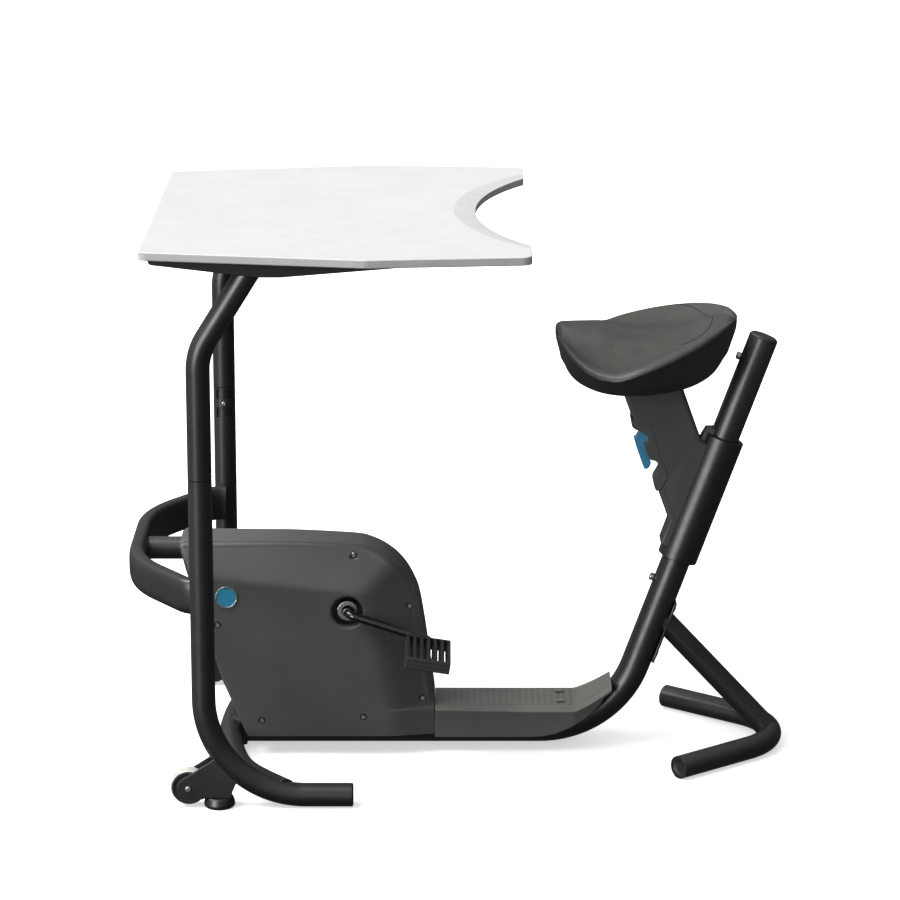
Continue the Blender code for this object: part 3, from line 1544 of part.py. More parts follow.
def make_fork():
    """Two upright plates on the beam that hold the flywheel's shaft."""
    fork = prism("flywheel_fork", [fork_outline()], FORK_PLATE, black_paint())
    fork.location = (0.0, -FORK_HALF - FORK_PLATE / 2, 0.0)
    other = prism("join_fork", [fork_outline()], FORK_PLATE, None, True)
    other.location = (0.0, FORK_HALF + FORK_PLATE / 2, 0.0)
    wide, tall = FORK_SPACER
    reach = FORK_HALF + FORK_PLATE / 2
    spacer = box(
        "join_fork_spacer",
        (FLYWHEEL_X + 0.012, -reach, FORK_SPACER_HEIGHT),
        (FLYWHEEL_X + 0.012 + wide, reach, FORK_SPACER_HEIGHT + tall),
        cutter=True,
    )
    bore = outer_radius(SHAFT_RADIUS + RUNNING_GAP, 16)
    hole = turned("cut_fork_hole", disc_profile(bore, -0.1, 0.1), None, 16, True)
    along_y(hole, FLYWHEEL_X, 0.0, FLYWHEEL_CENTRE)
    join(fork, spacer, other)
    cut(fork, hole, bpy.data.objects["cut_beam"])


def make_brake():
    """A magnet holder that bridges the flywheel's rim and hangs on the head post."""
    top = FLYWHEEL_CENTRE + FLYWHEEL_RADIUS + BRAKE_GAP
    half = FLYWHEEL_RIM_WIDTH / 2 + BRAKE_GAP
    inner_y = FLYWHEEL_Y + half
    outer_y = FLYWHEEL_Y - half
    left_x = FLYWHEEL_X - BRAKE_LENGTH / 2
    right_x = FLYWHEEL_X + BRAKE_LENGTH / 2
    low_z = top - 0.020
    brake = box(
        "magnet_brake",
        (left_x, outer_y - BRAKE_CHEEK, low_z),
        (right_x, -POST_RADIUS - GAP, top + BRAKE_BRIDGE),
        cast_iron(),
    )
    slot = box(
        "cut_brake_slot",
        (left_x - 0.01, outer_y, low_z - 0.01),
        (right_x + 0.01, inner_y, top),
        cutter=True,
    )
    post_x = FRONT_POST_FOOT_X + (FRONT_POST_TOP_X - FRONT_POST_FOOT_X) * (
        (top - BEAM_CENTRE) / (LOOP_HEIGHT - BEAM_CENTRE)
    )
    arm = box(
        "join_brake_arm",
        (post_x - 0.010, inner_y, top + 0.002),
        (left_x + 0.005, -POST_RADIUS - GAP, top + BRAKE_BRIDGE),
        cutter=True,
    )
    join(brake, arm)
    cut(brake, slot)


# Pedals

def pedal_bars(name, x, z, y_low):
    """The plain block of one tread, before its slots are cut."""
    half = PEDAL_LENGTH / 2
    flat = PEDAL_THICKNESS / 2
    body = box(
        name, (-half, 0.0, -flat), (half, PEDAL_WIDTH, flat), black_plastic()
    )
    body.data.transform(Matrix.Translation((0.0, PEDAL_WIDTH / 2, 0.0)))
    body.location = (x, y_low, z)
    body.rotation_euler = (0.0, PEDAL_TILT, 0.0)
    return body


def make_pedal(side, sign):
    x, z = pedal_centre(sign)
    low = PEDAL_START_Y if sign > 0.0 else -PEDAL_START_Y - PEDAL_WIDTH
    axis = pivot("pedal_axis_" + side, (x, sign * PEDAL_START_Y, z))
    pedal = pedal_bars("pedal_" + side, x, z, low)
    bevel(pedal, 0.003)
    for row in (-1.0, 1.0):
        for i in range(PEDAL_SLOTS):
            y = PEDAL_WIDTH * (i + 0.5) / PEDAL_SLOTS
            middle = row * (PEDAL_BOSS_RADIUS + 0.003 + PEDAL_SLOT_LENGTH / 2)
            slot = box(
                f"cut_slot_{side}_{int(row)}_{i}",
                (-PEDAL_SLOT_LENGTH / 2, -PEDAL_SLOT_WIDTH / 2, -0.02),
                (PEDAL_SLOT_LENGTH / 2, PEDAL_SLOT_WIDTH / 2, 0.02),
                cutter=True,
            )
            slot.location = pedal.location + Vector(
                (middle * math.cos(PEDAL_TILT), y, -middle * math.sin(PEDAL_TILT))
            )
            slot.rotation_euler = (0.0, PEDAL_TILT, 0.0)
            cut(pedal, slot)
    length = PEDAL_WIDTH - 0.012
    bore = turned(
        "cut_pedal_bore_" + side,
        disc_profile(outer_radius(SPINDLE_RADIUS + RUNNING_GAP, 12), -0.01, length + RUNNING_GAP),
        None, 12, True,
    )
    turn = -math.pi / 2 if sign > 0.0 else math.pi / 2
    bore.rotation_euler = (turn, 0.0, 0.0)
    bore.location = (x, sign * PEDAL_START_Y, z)
    cut(pedal, bore)
    attach(pedal, axis)


def make_spindle(side, sign, axis):
    """The pedal's spindle, screwed against the end of the crank arm."""
    x, z = pedal_centre(sign)
    start = CRANK_END_Y + GAP - PEDAL_START_Y
    length = PEDAL_WIDTH - 0.012
    profile = [
        (0.0, length),
        (SPINDLE_RADIUS, length),
        (SPINDLE_RADIUS, -0.001),
        (CRANK_ROD_RADIUS, -0.001),
        (CRANK_ROD_RADIUS, start),
        (0.0, start),
    ]
    spindle = turned("pedal_spindle_" + side, profile, bright_steel(), 12)
    turn = -math.pi / 2 if sign > 0.0 else math.pi / 2
    spindle.rotation_euler = (turn, 0.0, 0.0)
    spindle.location = (x, sign * PEDAL_START_Y, z)
    attach(spindle, axis)


def make_drive():
    crank_axis = pivot("crank_axis", (CRANK_X, 0.0, CRANK_CENTRE))
    flywheel_axis = pivot("flywheel_axis", (FLYWHEEL_X, 0.0, FLYWHEEL_CENTRE))
    make_bottom_bracket()
    make_crank(crank_axis)
    make_pulley(crank_axis)
    make_belt()
    make_flywheel(flywheel_axis)
    make_fork()
    make_brake()
    both_sides(make_pedal)
    both_sides(lambda side, sign: make_spindle(side, sign, crank_axis))


# Seat carriage

def make_sleeve(carrier, shoe_hole):
    half = SLEEVE_LENGTH / 2
    liner_outer = SLEEVE_RADIUS - SLEEVE_WALL
    bore = outer_radius(liner_outer, BEAM_SIDES)
    profile = ring_profile(bore, SLEEVE_RADIUS, -half, half, SLEEVE_CHAMFER)
    sleeve = turned("seat_sleeve", profile, black_paint(), BEAM_SIDES)
    inner = outer_radius(BEAM_RADIUS + RUNNING_GAP, BEAM_SIDES)
    profile = ring_profile(inner, liner_outer - GAP, -half + 0.001, half - 0.001)
    liner = turned("sleeve_liner", profile, black_plastic(), BEAM_SIDES)
    for obj in (sleeve, liner):
        obj.rotation_euler = (0.0, MAST_LEAN, 0.0)
        obj.location = mast_point(SLEEVE_CENTRE_HEIGHT)
        cut(obj, shoe_hole)
        attach(obj, carrier)
    smooth(sleeve)


TRIM_FRONT = [
    (0.3821, 0.7597), (0.3823, 0.7506), (0.3868, 0.7370), (0.4046, 0.7279), (0.4187, 0.7185),
    (0.4199, 0.7082), (0.4135, 0.6945), (0.4264, 0.6653), (0.4364, 0.6618), (0.4431, 0.6550),
    (0.4465, 0.6458), (0.4434, 0.6367), (0.4369, 0.6253), (0.4337, 0.6184), (0.4338, 0.6092),
    (0.4373, 0.5978), (0.4418, 0.5921),
]
TRIM_BACK = [
    (0.4506, 0.5978), (0.4635, 0.6184), (0.4656, 0.6276), (0.4609, 0.6458), (0.4518, 0.6641),
    (0.4449, 0.6824), (0.4356, 0.7165), (0.4287, 0.7324), (0.4198, 0.7426), (0.4021, 0.7460),
]
TRIM_SLOT = [
    (0.3950, 0.7330), (0.4340, 0.7220), (0.4375, 0.7000), (0.4440, 0.6680), (0.4440, 0.6420),
    (0.4000, 0.6300),
]
LEVER_OUTLINE = [
    (0.4032, 0.7242), (0.4187, 0.7185), (0.4300, 0.7180), (0.4325, 0.7120), (0.4290, 0.7050),
    (0.4190, 0.7040), (0.4135, 0.6945), (0.4273, 0.6603), (0.4274, 0.6489), (0.4220, 0.6408),
    (0.4165, 0.6397), (0.4109, 0.6466), (0.3913, 0.7037), (0.3945, 0.7128),
]


def make_seat_post(carrier, shoe_hole):
    """The bracket between sleeve and saddle, notched in front for the grip trim."""
    low = mast_point(0.455)
    high = mast_point(0.68)
    top = SADDLE_BOTTOM - PAN_THICKNESS - 2 * GAP
    lean = math.tan(SEAT_POST_LEAN)
    front_x, front_z = SEAT_POST_FRONT
    back_x, back_z = SEAT_POST_BACK
    knee_z = SEAT_POST_KNEE_HEIGHT
    outline = [
        (front_x - (top - front_z) * lean, top),
        (front_x + (front_z - knee_z) * lean, knee_z),
        (0.4508, 0.4775),
        (0.4540, 0.4640),
        (low.x, low.z),
        (high.x, high.z),
        (back_x, back_z),
        (back_x - (top - back_z) * lean, top),
    ]
    post = prism("seat_post", [outline], 2 * SEAT_POST_HALF, dark_plastic())
    bevel(post, SEAT_POST_ROUND, 2, 60.0)
    ear = [(back_x - 0.004, back_z - 0.008), (0.5494, 0.7330), (0.5627, 0.7315), (0.570, 0.690)]
    ear = prism("join_post_ear", [ear], 2 * POST_EAR_HALF, None, True)
    sleeve_space = rod(
        "cut_sleeve_space",
        [mast_point(SLEEVE_CENTRE_HEIGHT - 0.2), mast_point(SLEEVE_CENTRE_HEIGHT + 0.2)],
        outer_radius(SLEEVE_RADIUS + GAP, BEAM_SIDES), sides=BEAM_SIDES, cutter=True,
    )
    notch = [TRIM_FRONT[-1]] + TRIM_BACK + [TRIM_FRONT[0], (0.350, 0.750), (0.420, 0.580)]
    notch = prism("cut_trim_notch", [grown(notch, GAP)], 0.08, None, True)
    join(post, ear)
    cut(post, sleeve_space, notch, shoe_hole)
    attach(post, carrier)


def make_trim(carrier):
    trim = prism("grip_trim", [TRIM_FRONT + TRIM_BACK], 2 * TRIM_HALF, grey_plastic())
    slot = prism("cut_lever_slot", [TRIM_SLOT], 2 * TRIM_SLOT_HALF, None, True)
    pin_hole = turned(
        "cut_pin_hole", disc_profile(LEVER_PIN_RADIUS + GAP / 2, -0.022, 0.022), None, 10, True
    )
    along_y(pin_hole, LEVER_PIVOT[0], 0.0, LEVER_PIVOT[1])
    cut(trim, slot, pin_hole)
    attach(trim, carrier)


def make_lever(carrier):
    axis = pivot("lever_axis", (LEVER_PIVOT[0], 0.0, LEVER_PIVOT[1]), parent=carrier)
    lever = prism("release_lever", [LEVER_OUTLINE], 2 * LEVER_HALF, blue_plastic())
    hole = turned(
        "cut_lever_hole",
        disc_profile(outer_radius(LEVER_PIN_RADIUS + RUNNING_GAP, 10), -0.03, 0.03), None, 10, True,
    )
    along_y(hole, LEVER_PIVOT[0], 0.0, LEVER_PIVOT[1])
    cut(lever, hole)
    attach(lever, axis)
    pin = turned("lever_pin", disc_profile(LEVER_PIN_RADIUS, -0.0215, 0.0215), bright_steel(), 10)
    along_y(pin, LEVER_PIVOT[0], 0.0, LEVER_PIVOT[1])
    attach(pin, carrier)


def make_shoe(carrier):
    """The brake shoe that presses the mast until the lever draws it back."""
    axis = pivot("shoe_axis", mast_point(SHOE_HEIGHT, BEAM_RADIUS), parent=carrier)
    shoe = across_mast(
        "clamp_shoe", disc_profile(SHOE_RADIUS, 2 * GAP, SHOE_LENGTH, 0.001), SHOE_HEIGHT,
        BEAM_RADIUS, 1.0, black_plastic(), 12,
    )
    attach(shoe, axis)


def make_seat_carriage():
    carrier = pivot("seat_slide_axis", mast_point(SLEEVE_CENTRE_HEIGHT), (0.0, MAST_LEAN, 0.0))
    shoe_hole = across_mast(
        "cut_shoe_hole",
        disc_profile(outer_radius(SHOE_RADIUS + GAP, 12), -0.010, SHOE_LENGTH + SHOE_TRAVEL + 0.001),
        SHOE_HEIGHT, BEAM_RADIUS, 1.0, cutter=True,
    )
    make_sleeve(carrier, shoe_hole)
    make_seat_post(carrier, shoe_hole)
    make_trim(carrier)
    make_lever(carrier)
    make_shoe(carrier)
    make_saddle(carrier)


# Saddle

def saddle_reach(turn):
    """Distance from the saddle's middle to its edge, seen from above."""
    cosine = math.cos(turn)
    sine = abs(math.sin(turn))
    length = SADDLE_REAR if cosine > 0.0 else SADDLE_FRONT
    power = SADDLE_REAR_POWER if cosine > 0.0 else 2.0
    sum_of_powers = (abs(cosine) / length) ** power + (sine / SADDLE_HALF_WIDTH) ** power
    return sum_of_powers ** (-1.0 / power)


def blend(value, low, high):
    share = min(1.0, max(0.0, (value - low) / (high - low)))
    return share * share * (3.0 - 2.0 * share)


def saddle_rim(x):
    """Height of the saddle's rim: low beside the thighs, high at the back."""
    rear = 0.32 * max(0.0, min(x, 0.600) - 0.340)
    nose = 5.6 * max(0.0, 0.312 - x) ** 2
    return 0.918 + rear + nose


def saddle_ridge(x):
    """Height of the saddle along its middle line."""
    dip = 0.012 * blend(x, 0.30, 0.42) * (1.0 - blend(x, 0.47, 0.58))
    rear = 0.014 * blend(x, 0.50, 0.60)
    return RIDGE_HEIGHT - dip + rear


def saddle_top(x, share):
    """Height of the top at this share of the way from middle line to rim."""
    crown = 1.0 - blend(share, 0.0, 1.0)
    hollow = HOLLOW_DEPTH * math.sin(math.pi * share) ** 2
    return saddle_rim(x) + (saddle_ridge(x) - saddle_rim(x)) * crown - hollow


def saddle_point(direction):
    """Moves a point of a unit sphere to its place on the cushion."""
    turn = math.atan2(direction.y, direction.x)
    level = math.asin(max(-1.0, min(1.0, direction.z)))
    reach = saddle_reach(turn)
    rise = abs(level) / (math.pi / 2)
    share = 1.0 - rise**1.5
    if direction.z < 0.0:
        share = 0.88 - 0.88 * max(0.0, rise - 0.12) / 0.88
    x = SADDLE_MIDDLE_X + reach * share * math.cos(turn)
    y = reach * share * math.sin(turn)
    half = reach_across(x)
    side_share = min(1.0, abs(y) / half) if half > 0.0 else 1.0
    if direction.z >= 0.0:
        top = saddle_top(x, side_share)
        drop = 0.016 * (1.0 - min(1.0, rise / 0.22)) ** 2
        return Vector((x, y, top - drop))
    rear_lift = 0.030 * blend(x, 0.50, 0.62)
    front_lift = 0.030 * (1.0 - blend(x, 0.22, 0.32))
    floor = SADDLE_BOTTOM
    if rise < 0.12:
        return Vector((x, y, floor + 0.02 + rear_lift + front_lift))
    lift = (rear_lift + front_lift) * (1.0 - min(1.0, (rise - 0.12) / 0.25))
    return Vector((x, y, floor + lift))


def reach_across(x):
    """Half the saddle's width at this distance along it."""
    along = x - SADDLE_MIDDLE_X
    length = SADDLE_REAR if along > 0.0 else SADDLE_FRONT
    power = SADDLE_REAR_POWER if along > 0.0 else 2.0
    share = min(1.0, abs(along) / length) ** power
    return SADDLE_HALF_WIDTH * max(0.0, 1.0 - share) ** (1.0 / power)


def make_saddle(carrier):
    mesh = bpy.data.meshes.new("saddle_cushion")
    edit = bmesh.new()
    bmesh.ops.create_uvsphere(edit, u_segments=SADDLE_SEGMENTS, v_segments=10, radius=1.0)
    for vertex in edit.verts:
        vertex.co = saddle_point(vertex.co.normalized())
    edit.to_mesh(mesh)
    edit.free()
    cushion = link_object("saddle_cushion", mesh, black_leather())
    rounded = cushion.modifiers.new("round", "SUBSURF")
    rounded.levels = 1
    rounded.render_levels = 1
    smooth(cushion)
    attach(cushion, carrier)
    outline = []
    count = 20
    for i in range(count):
        turn = 2 * math.pi * i / count
        reach = saddle_reach(turn) * PAN_SHARE
        outline.append((SADDLE_MIDDLE_X + reach * math.cos(turn), reach * math.sin(turn)))
    pan = slab("saddle_pan", outline, PAN_THICKNESS, SADDLE_BOTTOM - GAP, black_plastic())
    bevel(pan, 0.002)
    attach(pan, carrier)


def main():
    clear_scene()
    make_cutters()
    make_socket_space()
    make_beam()
    make_mast_cap()
    both_sides(make_leg)
    make_cross_tube()
    make_loop()
    make_head_post()
    make_rear_stand()
    both_sides(make_bracket)
    both_sides(make_wheel)
    both_sides(make_level_foot)
    make_desk()
    make_housing()
    make_badge()
    make_step_cover()
    make_drive()
    make_seat_carriage()


main()
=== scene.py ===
import json
import math

import bmesh
import bpy
from mathutils import Matrix, Vector


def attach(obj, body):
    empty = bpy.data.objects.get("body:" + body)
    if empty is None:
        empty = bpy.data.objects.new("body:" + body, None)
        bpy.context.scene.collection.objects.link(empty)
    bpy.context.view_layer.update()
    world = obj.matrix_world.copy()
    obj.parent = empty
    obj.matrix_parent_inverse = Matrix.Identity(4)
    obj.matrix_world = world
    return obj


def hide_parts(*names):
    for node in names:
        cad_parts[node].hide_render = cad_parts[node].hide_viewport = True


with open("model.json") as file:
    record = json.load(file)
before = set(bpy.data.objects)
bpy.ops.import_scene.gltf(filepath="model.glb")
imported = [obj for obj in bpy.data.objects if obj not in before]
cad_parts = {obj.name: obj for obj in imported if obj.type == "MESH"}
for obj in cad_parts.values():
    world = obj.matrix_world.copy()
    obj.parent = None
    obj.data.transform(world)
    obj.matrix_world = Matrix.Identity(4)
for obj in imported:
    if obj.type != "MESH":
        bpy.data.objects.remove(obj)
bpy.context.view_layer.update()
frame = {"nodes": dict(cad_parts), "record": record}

# Desk exercise bike, dressed for the picture. Metres, +Z up, +X from the desk to the saddle.
# The sizes come from the CAD model, so each piece lies where its solid is. A few differ from the solid, to
# come closer to the photograph: the desk's front edge and the slope of its scoop, the step cover's lower
# edge, the width of the tab over the seat sleeve, and the slots through the pedals.

# Fits and smoothness
GAP = 0.0003
ROUND_SIDES = 56
BEND_STEP = math.radians(2.5)

# Tubes of the frame
TUBE_RADIUS = 0.0254
TUBE_WALL = 0.0025
UPRIGHT_X = -0.5406
UPRIGHT_Y = 0.418
SEAM_HEIGHT = 0.725
LEG_BEND_RADIUS = 0.215
LEG_FOOT_END_X = -0.2263
WINDOW_SIZE = (0.034, 0.0112, 0.024)
WINDOW_TOP_DROP = 0.003
WINDOW_BAR = 0.019
WINDOW_DEPTH_SPARE = 0.002
HEIGHT_BOLT_HEAD = (0.005, 0.003)
SPIGOT_LENGTH = 0.185
SPIGOT_PLAY = 0.0008
# How high over the seam the thin spigot swells out, and the share of the full radius it has there
SPIGOT_SHOULDER = ((0.0009, 0.965), (0.0016, 0.988), (0.0030, 1.0))
UPRIGHT_TOP_DROP = 0.0195
UPRIGHT_LEAN = math.radians(32.0)
UPRIGHT_BEND_HEIGHT = 0.9969
UPRIGHT_BEND_RADIUS = 0.13
BEAM_RADIUS = 0.0325
BEAM_CENTRE = 0.0345
BEAM_START_X = -0.509
BEAM_BEND_RADIUS = 0.227
MAST_FOOT_X = 0.3456
MAST_LEAN = math.radians(19.94)
MAST_TOP = 0.9345
# End caps: their rise, the width and height of their slope, the plug's radius, and their rounding
MAST_CAP = (0.006, 0.0045, 0.0015, 0.026, 0.003)
LEG_CAP = (0.003, 0.0025, 0.0008, 0.021, 0.0015)
STOP_BOLT_HEIGHTS = (0.882, 0.376)
STOP_HEAD = (0.0085, 0.0095)
CROSS_CENTRE = 0.0354
CROSS_PLAN = [
    (-0.509, 0.0), (-0.5055, 0.07), (-0.499, 0.135), (-0.489, 0.195), (-0.477, 0.245),
    (-0.463, 0.285), (-0.4445, 0.320), (-0.4225, 0.352), (-0.3975, 0.385), (-0.369, 0.420),
]
SOCKET_BOX = ((-0.4896, -0.038, 0.004), (-0.4716, 0.038, 0.074))
LOOP_HEIGHT = 0.4555
LOOP_TALL = 0.078
LOOP_THICK = 0.0364
LOOP_FRONT_X = -0.7039
LOOP_BEND = 0.311
LOOP_SIDE = (-0.6233, 0.300)
LOOP_SPLAY = math.radians(35.3)
LOOP_END_X = -0.537
LOOP_END_BEND = 0.055
LOOP_SQUARENESS = 0.60
LOOP_ARM_INSET = 0.012
HEAD_POST_X = (-0.430, -0.530)
HEAD_POST_RADIUS = 0.019
STRUT_MAST_HEIGHT = 0.3064
REAR_APEX_X = 0.7317
REAR_BEND_RADIUS = 0.150
REAR_END = (0.4848, 0.247)
REAR_CAP_RECESS = 0.0015
PLATE_SIZE = (0.006, 0.050, 0.148)
PLATE_CENTRE_HEIGHT = 0.2735
PLATE_BOLT_SPREAD = 0.112
PLATE_HEAD = (0.0075, 0.004)

# Desk
DESK_TOP = 1.221
DESK_THICKNESS = 0.018
DESK_FRONT = (-0.656, 0.472)
DESK_KINK = (-0.186, 0.554)
DESK_TIP = (0.152, 0.522)
DESK_CORNER_RADIUS = 0.022
CUTOUT_RADIUS = 0.728
CUTOUT_DEPTH = 0.113
SCOOP_RADIUS = 0.673
SCOOP_WIDTH = 0.047
SCOOP_SLOPE = math.radians(5.0)
DESK_KINK_RADIUS = 0.06
BRACKET_WIDTH = 0.070
BRACKET_FRONT_INSET = 0.019
BRACKET_DEPTH = 0.039
BRACKET_DEEP_X = (-0.412, -0.365)
BRACKET_REAR_X = 0.040
CROSSBAR_X = (-0.410, -0.360)
CROSSBAR_DEPTH = 0.022

# Housing and step cover
HOUSING_TOP = 0.486
HOUSING_BOTTOM = 0.043
HOUSING_REAR_X = -0.050
HOUSING_HALF_TOP = 0.053
HOUSING_HALF_SIDE = 0.095
HOUSING_CREASE = (-0.340, 0.3915)
HOUSING_CREASE_FALL = math.tan(math.radians(5.6))
HOUSING_REAR_HALF = 0.055
HOUSING_TAPER_X = -0.143
HOUSING_TAPER_LEAN = math.tan(math.radians(12.0))
HOUSING_LEDGE = 0.107
LEDGE_BLEND = 0.012
BAND_HALF = 0.0485
BAND_GROOVE = 0.0014
PANEL_DROP = 0.0026
PANEL_EDGE = 0.0075
PANEL_EDGE_GROWTH = 0.0095
PANEL_EDGE_LOW = 0.002
PANEL_GRID_MM = 8
STEP_TOP = 0.106
STEP_HALF_TOP = 0.065
STEP_HALF_SIDE = 0.075
STEP_BEVEL_DROP = 0.011
STEP_BEVEL_START = 0.0055
STEP_BEVEL_RUN = 0.2
STEP_TOP_TAPER = 0.013
STEP_SIDE_TAPER = 0.017
STEP_SECTIONS = 80
STEP_RIBS = 22
STEP_RIB_PITCH = 0.0145
STEP_RIB_START_X = -0.040
STEP_RIB_SIZE = (0.0040, 0.0024)
STEP_BOTTOM = 0.036
STEP_RAMP_X = (0.262, 0.3452)
STEP_RAMP_RISE = 0.044
CRANK_HOLE_RADIUS = 0.034
CRANK_HOLE_RIM = 0.0065
BADGE_RADIUS = 0.0245
BADGE_PLACE = (-0.510, -0.0953, 0.369)
BADGE_RING_WIDTH = 0.0028
BADGE_RING_HEIGHT = 0.003
BADGE_DISC_HEIGHT = 0.0022
# Cover screws: (X, Z) on the housing's side, then (X, Y) on the step cover
HOUSING_SCREWS = [
    (-0.229, 0.456), (-0.1055, 0.337), (-0.077, 0.124), (-0.209, 0.0895), (-0.435, 0.081),
    (-0.5305, 0.3035),
]
STEP_SCREWS = [(0.036, -0.035), (0.036, 0.035), (0.230, -0.035), (0.230, 0.035)]
SCREW_HEAD_RADIUS = 0.0060
SCREW_HEAD_HEIGHT = 0.0030
SCREW_SLOT = 0.0012

# Drive
CRANK_X = -0.243
CRANK_CENTRE = 0.333
CRANK_LENGTH = 0.185
CRANK_ANGLE = math.radians(-15.2)
CRANK_ROD_RADIUS = 0.0095
CRANK_AXLE_HALF = 0.108
CRANK_END_Y = 0.152
CRANK_KNEE_Y = 0.138
CRANK_END_BEND = 0.010
CRANK_ROOT_BEND = 0.020
# Bearing cups: side, the place along Y where the flange sits, and which way it faces
CUPS = (("left", -0.078, -1.0), ("right", 0.036, 1.0))
CUP_FLANGE = (0.0225, 0.004)
CUP_BODY = (0.018, 0.015)
CUP_BORE = 0.0102
PEDAL_START_Y = 0.160
PEDAL_SIZE = (0.098, 0.165, 0.026)
PEDAL_TILT = math.radians(8.7)
PEDAL_SLOTS = 6
PEDAL_RIM = 0.004
# Half widths of the grooves and of the slots in them, how far both stop short of the pedal's ends,
# and half the thickness that is left at the bottom of the grooves
GROOVE_HALF = 0.0042
GROOVE_MARGIN = 0.007
GROOVE_FLOOR = 0.004
SLOT_HALF = 0.0013
SLOT_MARGIN = 0.010
# Two lines cut along each edge: their heights, half width, depth, and distance from the corners
EDGE_LINE_LEVELS = (-0.005, 0.005)
EDGE_LINE_HALF = 0.0008
EDGE_LINE_DEPTH = 0.0018
EDGE_LINE_MARGIN = 0.006
SPINDLE_RADIUS = 0.0055

# Wheels and feet
WHEEL_RADIUS = 0.0385
WHEEL_WIDTH = 0.038
WHEEL_INSET = 0.004
WHEEL_X = -0.5757
WHEEL_CENTRE = 0.045
TREAD_THICKNESS = 0.0028
HUB_RADIUS = 0.011
HUB_BORE = 0.004
# The wheel's disc is dished between the hub and the rim
DISH_RADII = (0.014, WHEEL_RADIUS - 0.010)
AXLE_RADIUS = 0.0035
AXLE_HEAD = (0.0065, 0.004)
CHEEK_GAP = 0.004
CHEEK_THICKNESS = 0.003
SHELF_THICKNESS = 0.006
WHEEL_SPACE_END_X = -0.5345
SHELF_BOTTOM = 0.024
SHELF_END_X = -0.4838
CHEEK_TOP_SLOPE = math.radians(33.3)
CHEEK_LOBE_RADIUS = 0.0245
CHEEK_REACH = 0.036
LEVEL_FOOT_X = -0.5102
LEVEL_FOOT_RADIUS = 0.0335
STUD_RADIUS = 0.005
STUD_TOP = 0.062
NUT_RADIUS = 0.0095
NUT_HEIGHTS = (0.0305, 0.038)

# Seat carriage
SLEEVE_RADIUS = 0.045
SLEEVE_LENGTH = 0.294
SLEEVE_CENTRE_HEIGHT = 0.5717
SLEEVE_WALL = 0.004
LINER_PLAY = 0.0005
LINER_INSET = 0.001
SEAT_POST_FRONT = (0.367, 0.8082)
SEAT_POST_BACK = (0.5367, 0.7107)
SEAT_POST_KNEE = 0.5270
SEAT_POST_LEAN = math.tan(math.radians(19.8))
SEAT_POST_WIDTH = 0.060
SEAT_POST_TOP_DROP = 0.0086
SEAT_POST_MAST_PLAY = 0.0015
TAB_WIDTH = 0.040
LEVER_PIVOT = (0.4255, 0.7118)
LEVER_WIDTH = 0.023
LEVER_SLOT_WIDTH = 0.025
LEVER_PIN = (0.0025, 0.0215)
TRIM_WIDTH = 0.054
# Middle of the grip, and the shares by which the trim's outline is drawn in towards it, along X and Z
TRIM_MIDDLE = (0.425, 0.68)
TRIM_DRAWN_IN = (0.006, 0.004)
SADDLE_MIDDLE_X = 0.370
SADDLE_FRONT = 0.155
SADDLE_REAR = 0.243
SADDLE_HALF_WIDTH = 0.290
SADDLE_BOTTOM = 0.864
SADDLE_REAR_POWER = 1.72
SADDLE_FRONT_POWER = 2.0
SADDLE_WALL = 0.93
SADDLE_WALL_RISE = 0.12
SADDLE_SHOULDER_DROP = 0.016
PAN_SHARE = 0.62
PAN_THICKNESS = 0.008

SIDES = (("left", -1.0), ("right", 1.0))


# Colours and materials

def colour(hex_value):
    """An sRGB hex value as the linear colour that a shader takes."""
    channels = []
    for i in (1, 3, 5):
        value = int(hex_value[i:i + 2], 16) / 255
        channels.append(value / 12.92 if value <= 0.04045 else ((value + 0.055) / 1.055) ** 2.4)
    return (*channels, 1.0)


def add(tree, kind, inputs=None, **settings):
    """Adds a node, sets its properties, and fills its sockets with values or links."""
    node = tree.nodes.new(kind)
    for name, value in settings.items():
        setattr(node, name, value)
    for name, value in (inputs or {}).items():
        socket = node.inputs[name]
        if isinstance(value, bpy.types.NodeSocket):
            tree.links.new(value, socket)
        else:
            socket.default_value = value
    return node


def per_mm(size):
    """Texture scale whose pattern repeats about every so many millimetres."""
    return 1000.0 / size


def start(name, **values):
    """A new material: (tree, its Principled node, Object coordinates)."""
    made = bpy.data.materials.new(name)
    made.use_nodes = True
    tree = made.node_tree
    shader = tree.nodes["Principled BSDF"]
    for socket, value in values.items():
        shader.inputs[socket.replace("_", " ")].default_value = value
    return made, tree, shader, add(tree, "ShaderNodeTexCoord").outputs["Object"]


def mottled(tree, place, first, second, size):
    """Two close colours in soft clouds of this size in millimetres."""
    cloud = add(tree, "ShaderNodeTexNoise", {"Vector": place, "Scale": per_mm(size), "Detail": 4.0})
    span = {"Value": cloud.outputs["Fac"], "From Min": 0.35, "From Max": 0.65}
    share = add(tree, "ShaderNodeMapRange", span)
    mix = tree.nodes.new("ShaderNodeMix")
    mix.data_type = "RGBA"
    tree.links.new(share.outputs["Result"], mix.inputs[0])
    mix.inputs[6].default_value = colour(first)
    mix.inputs[7].default_value = colour(second)
    return mix.outputs[2]


def varied(tree, place, low, high, size):
    """A value that drifts between two levels, for roughness."""
    cloud = add(tree, "ShaderNodeTexNoise", {"Vector": place, "Scale": per_mm(size), "Detail": 3.0})
    span = {"Value": cloud.outputs["Fac"], "From Min": 0.3, "From Max": 0.7, "To Min": low, "To Max": high}
    return add(tree, "ShaderNodeMapRange", span).outputs["Result"]


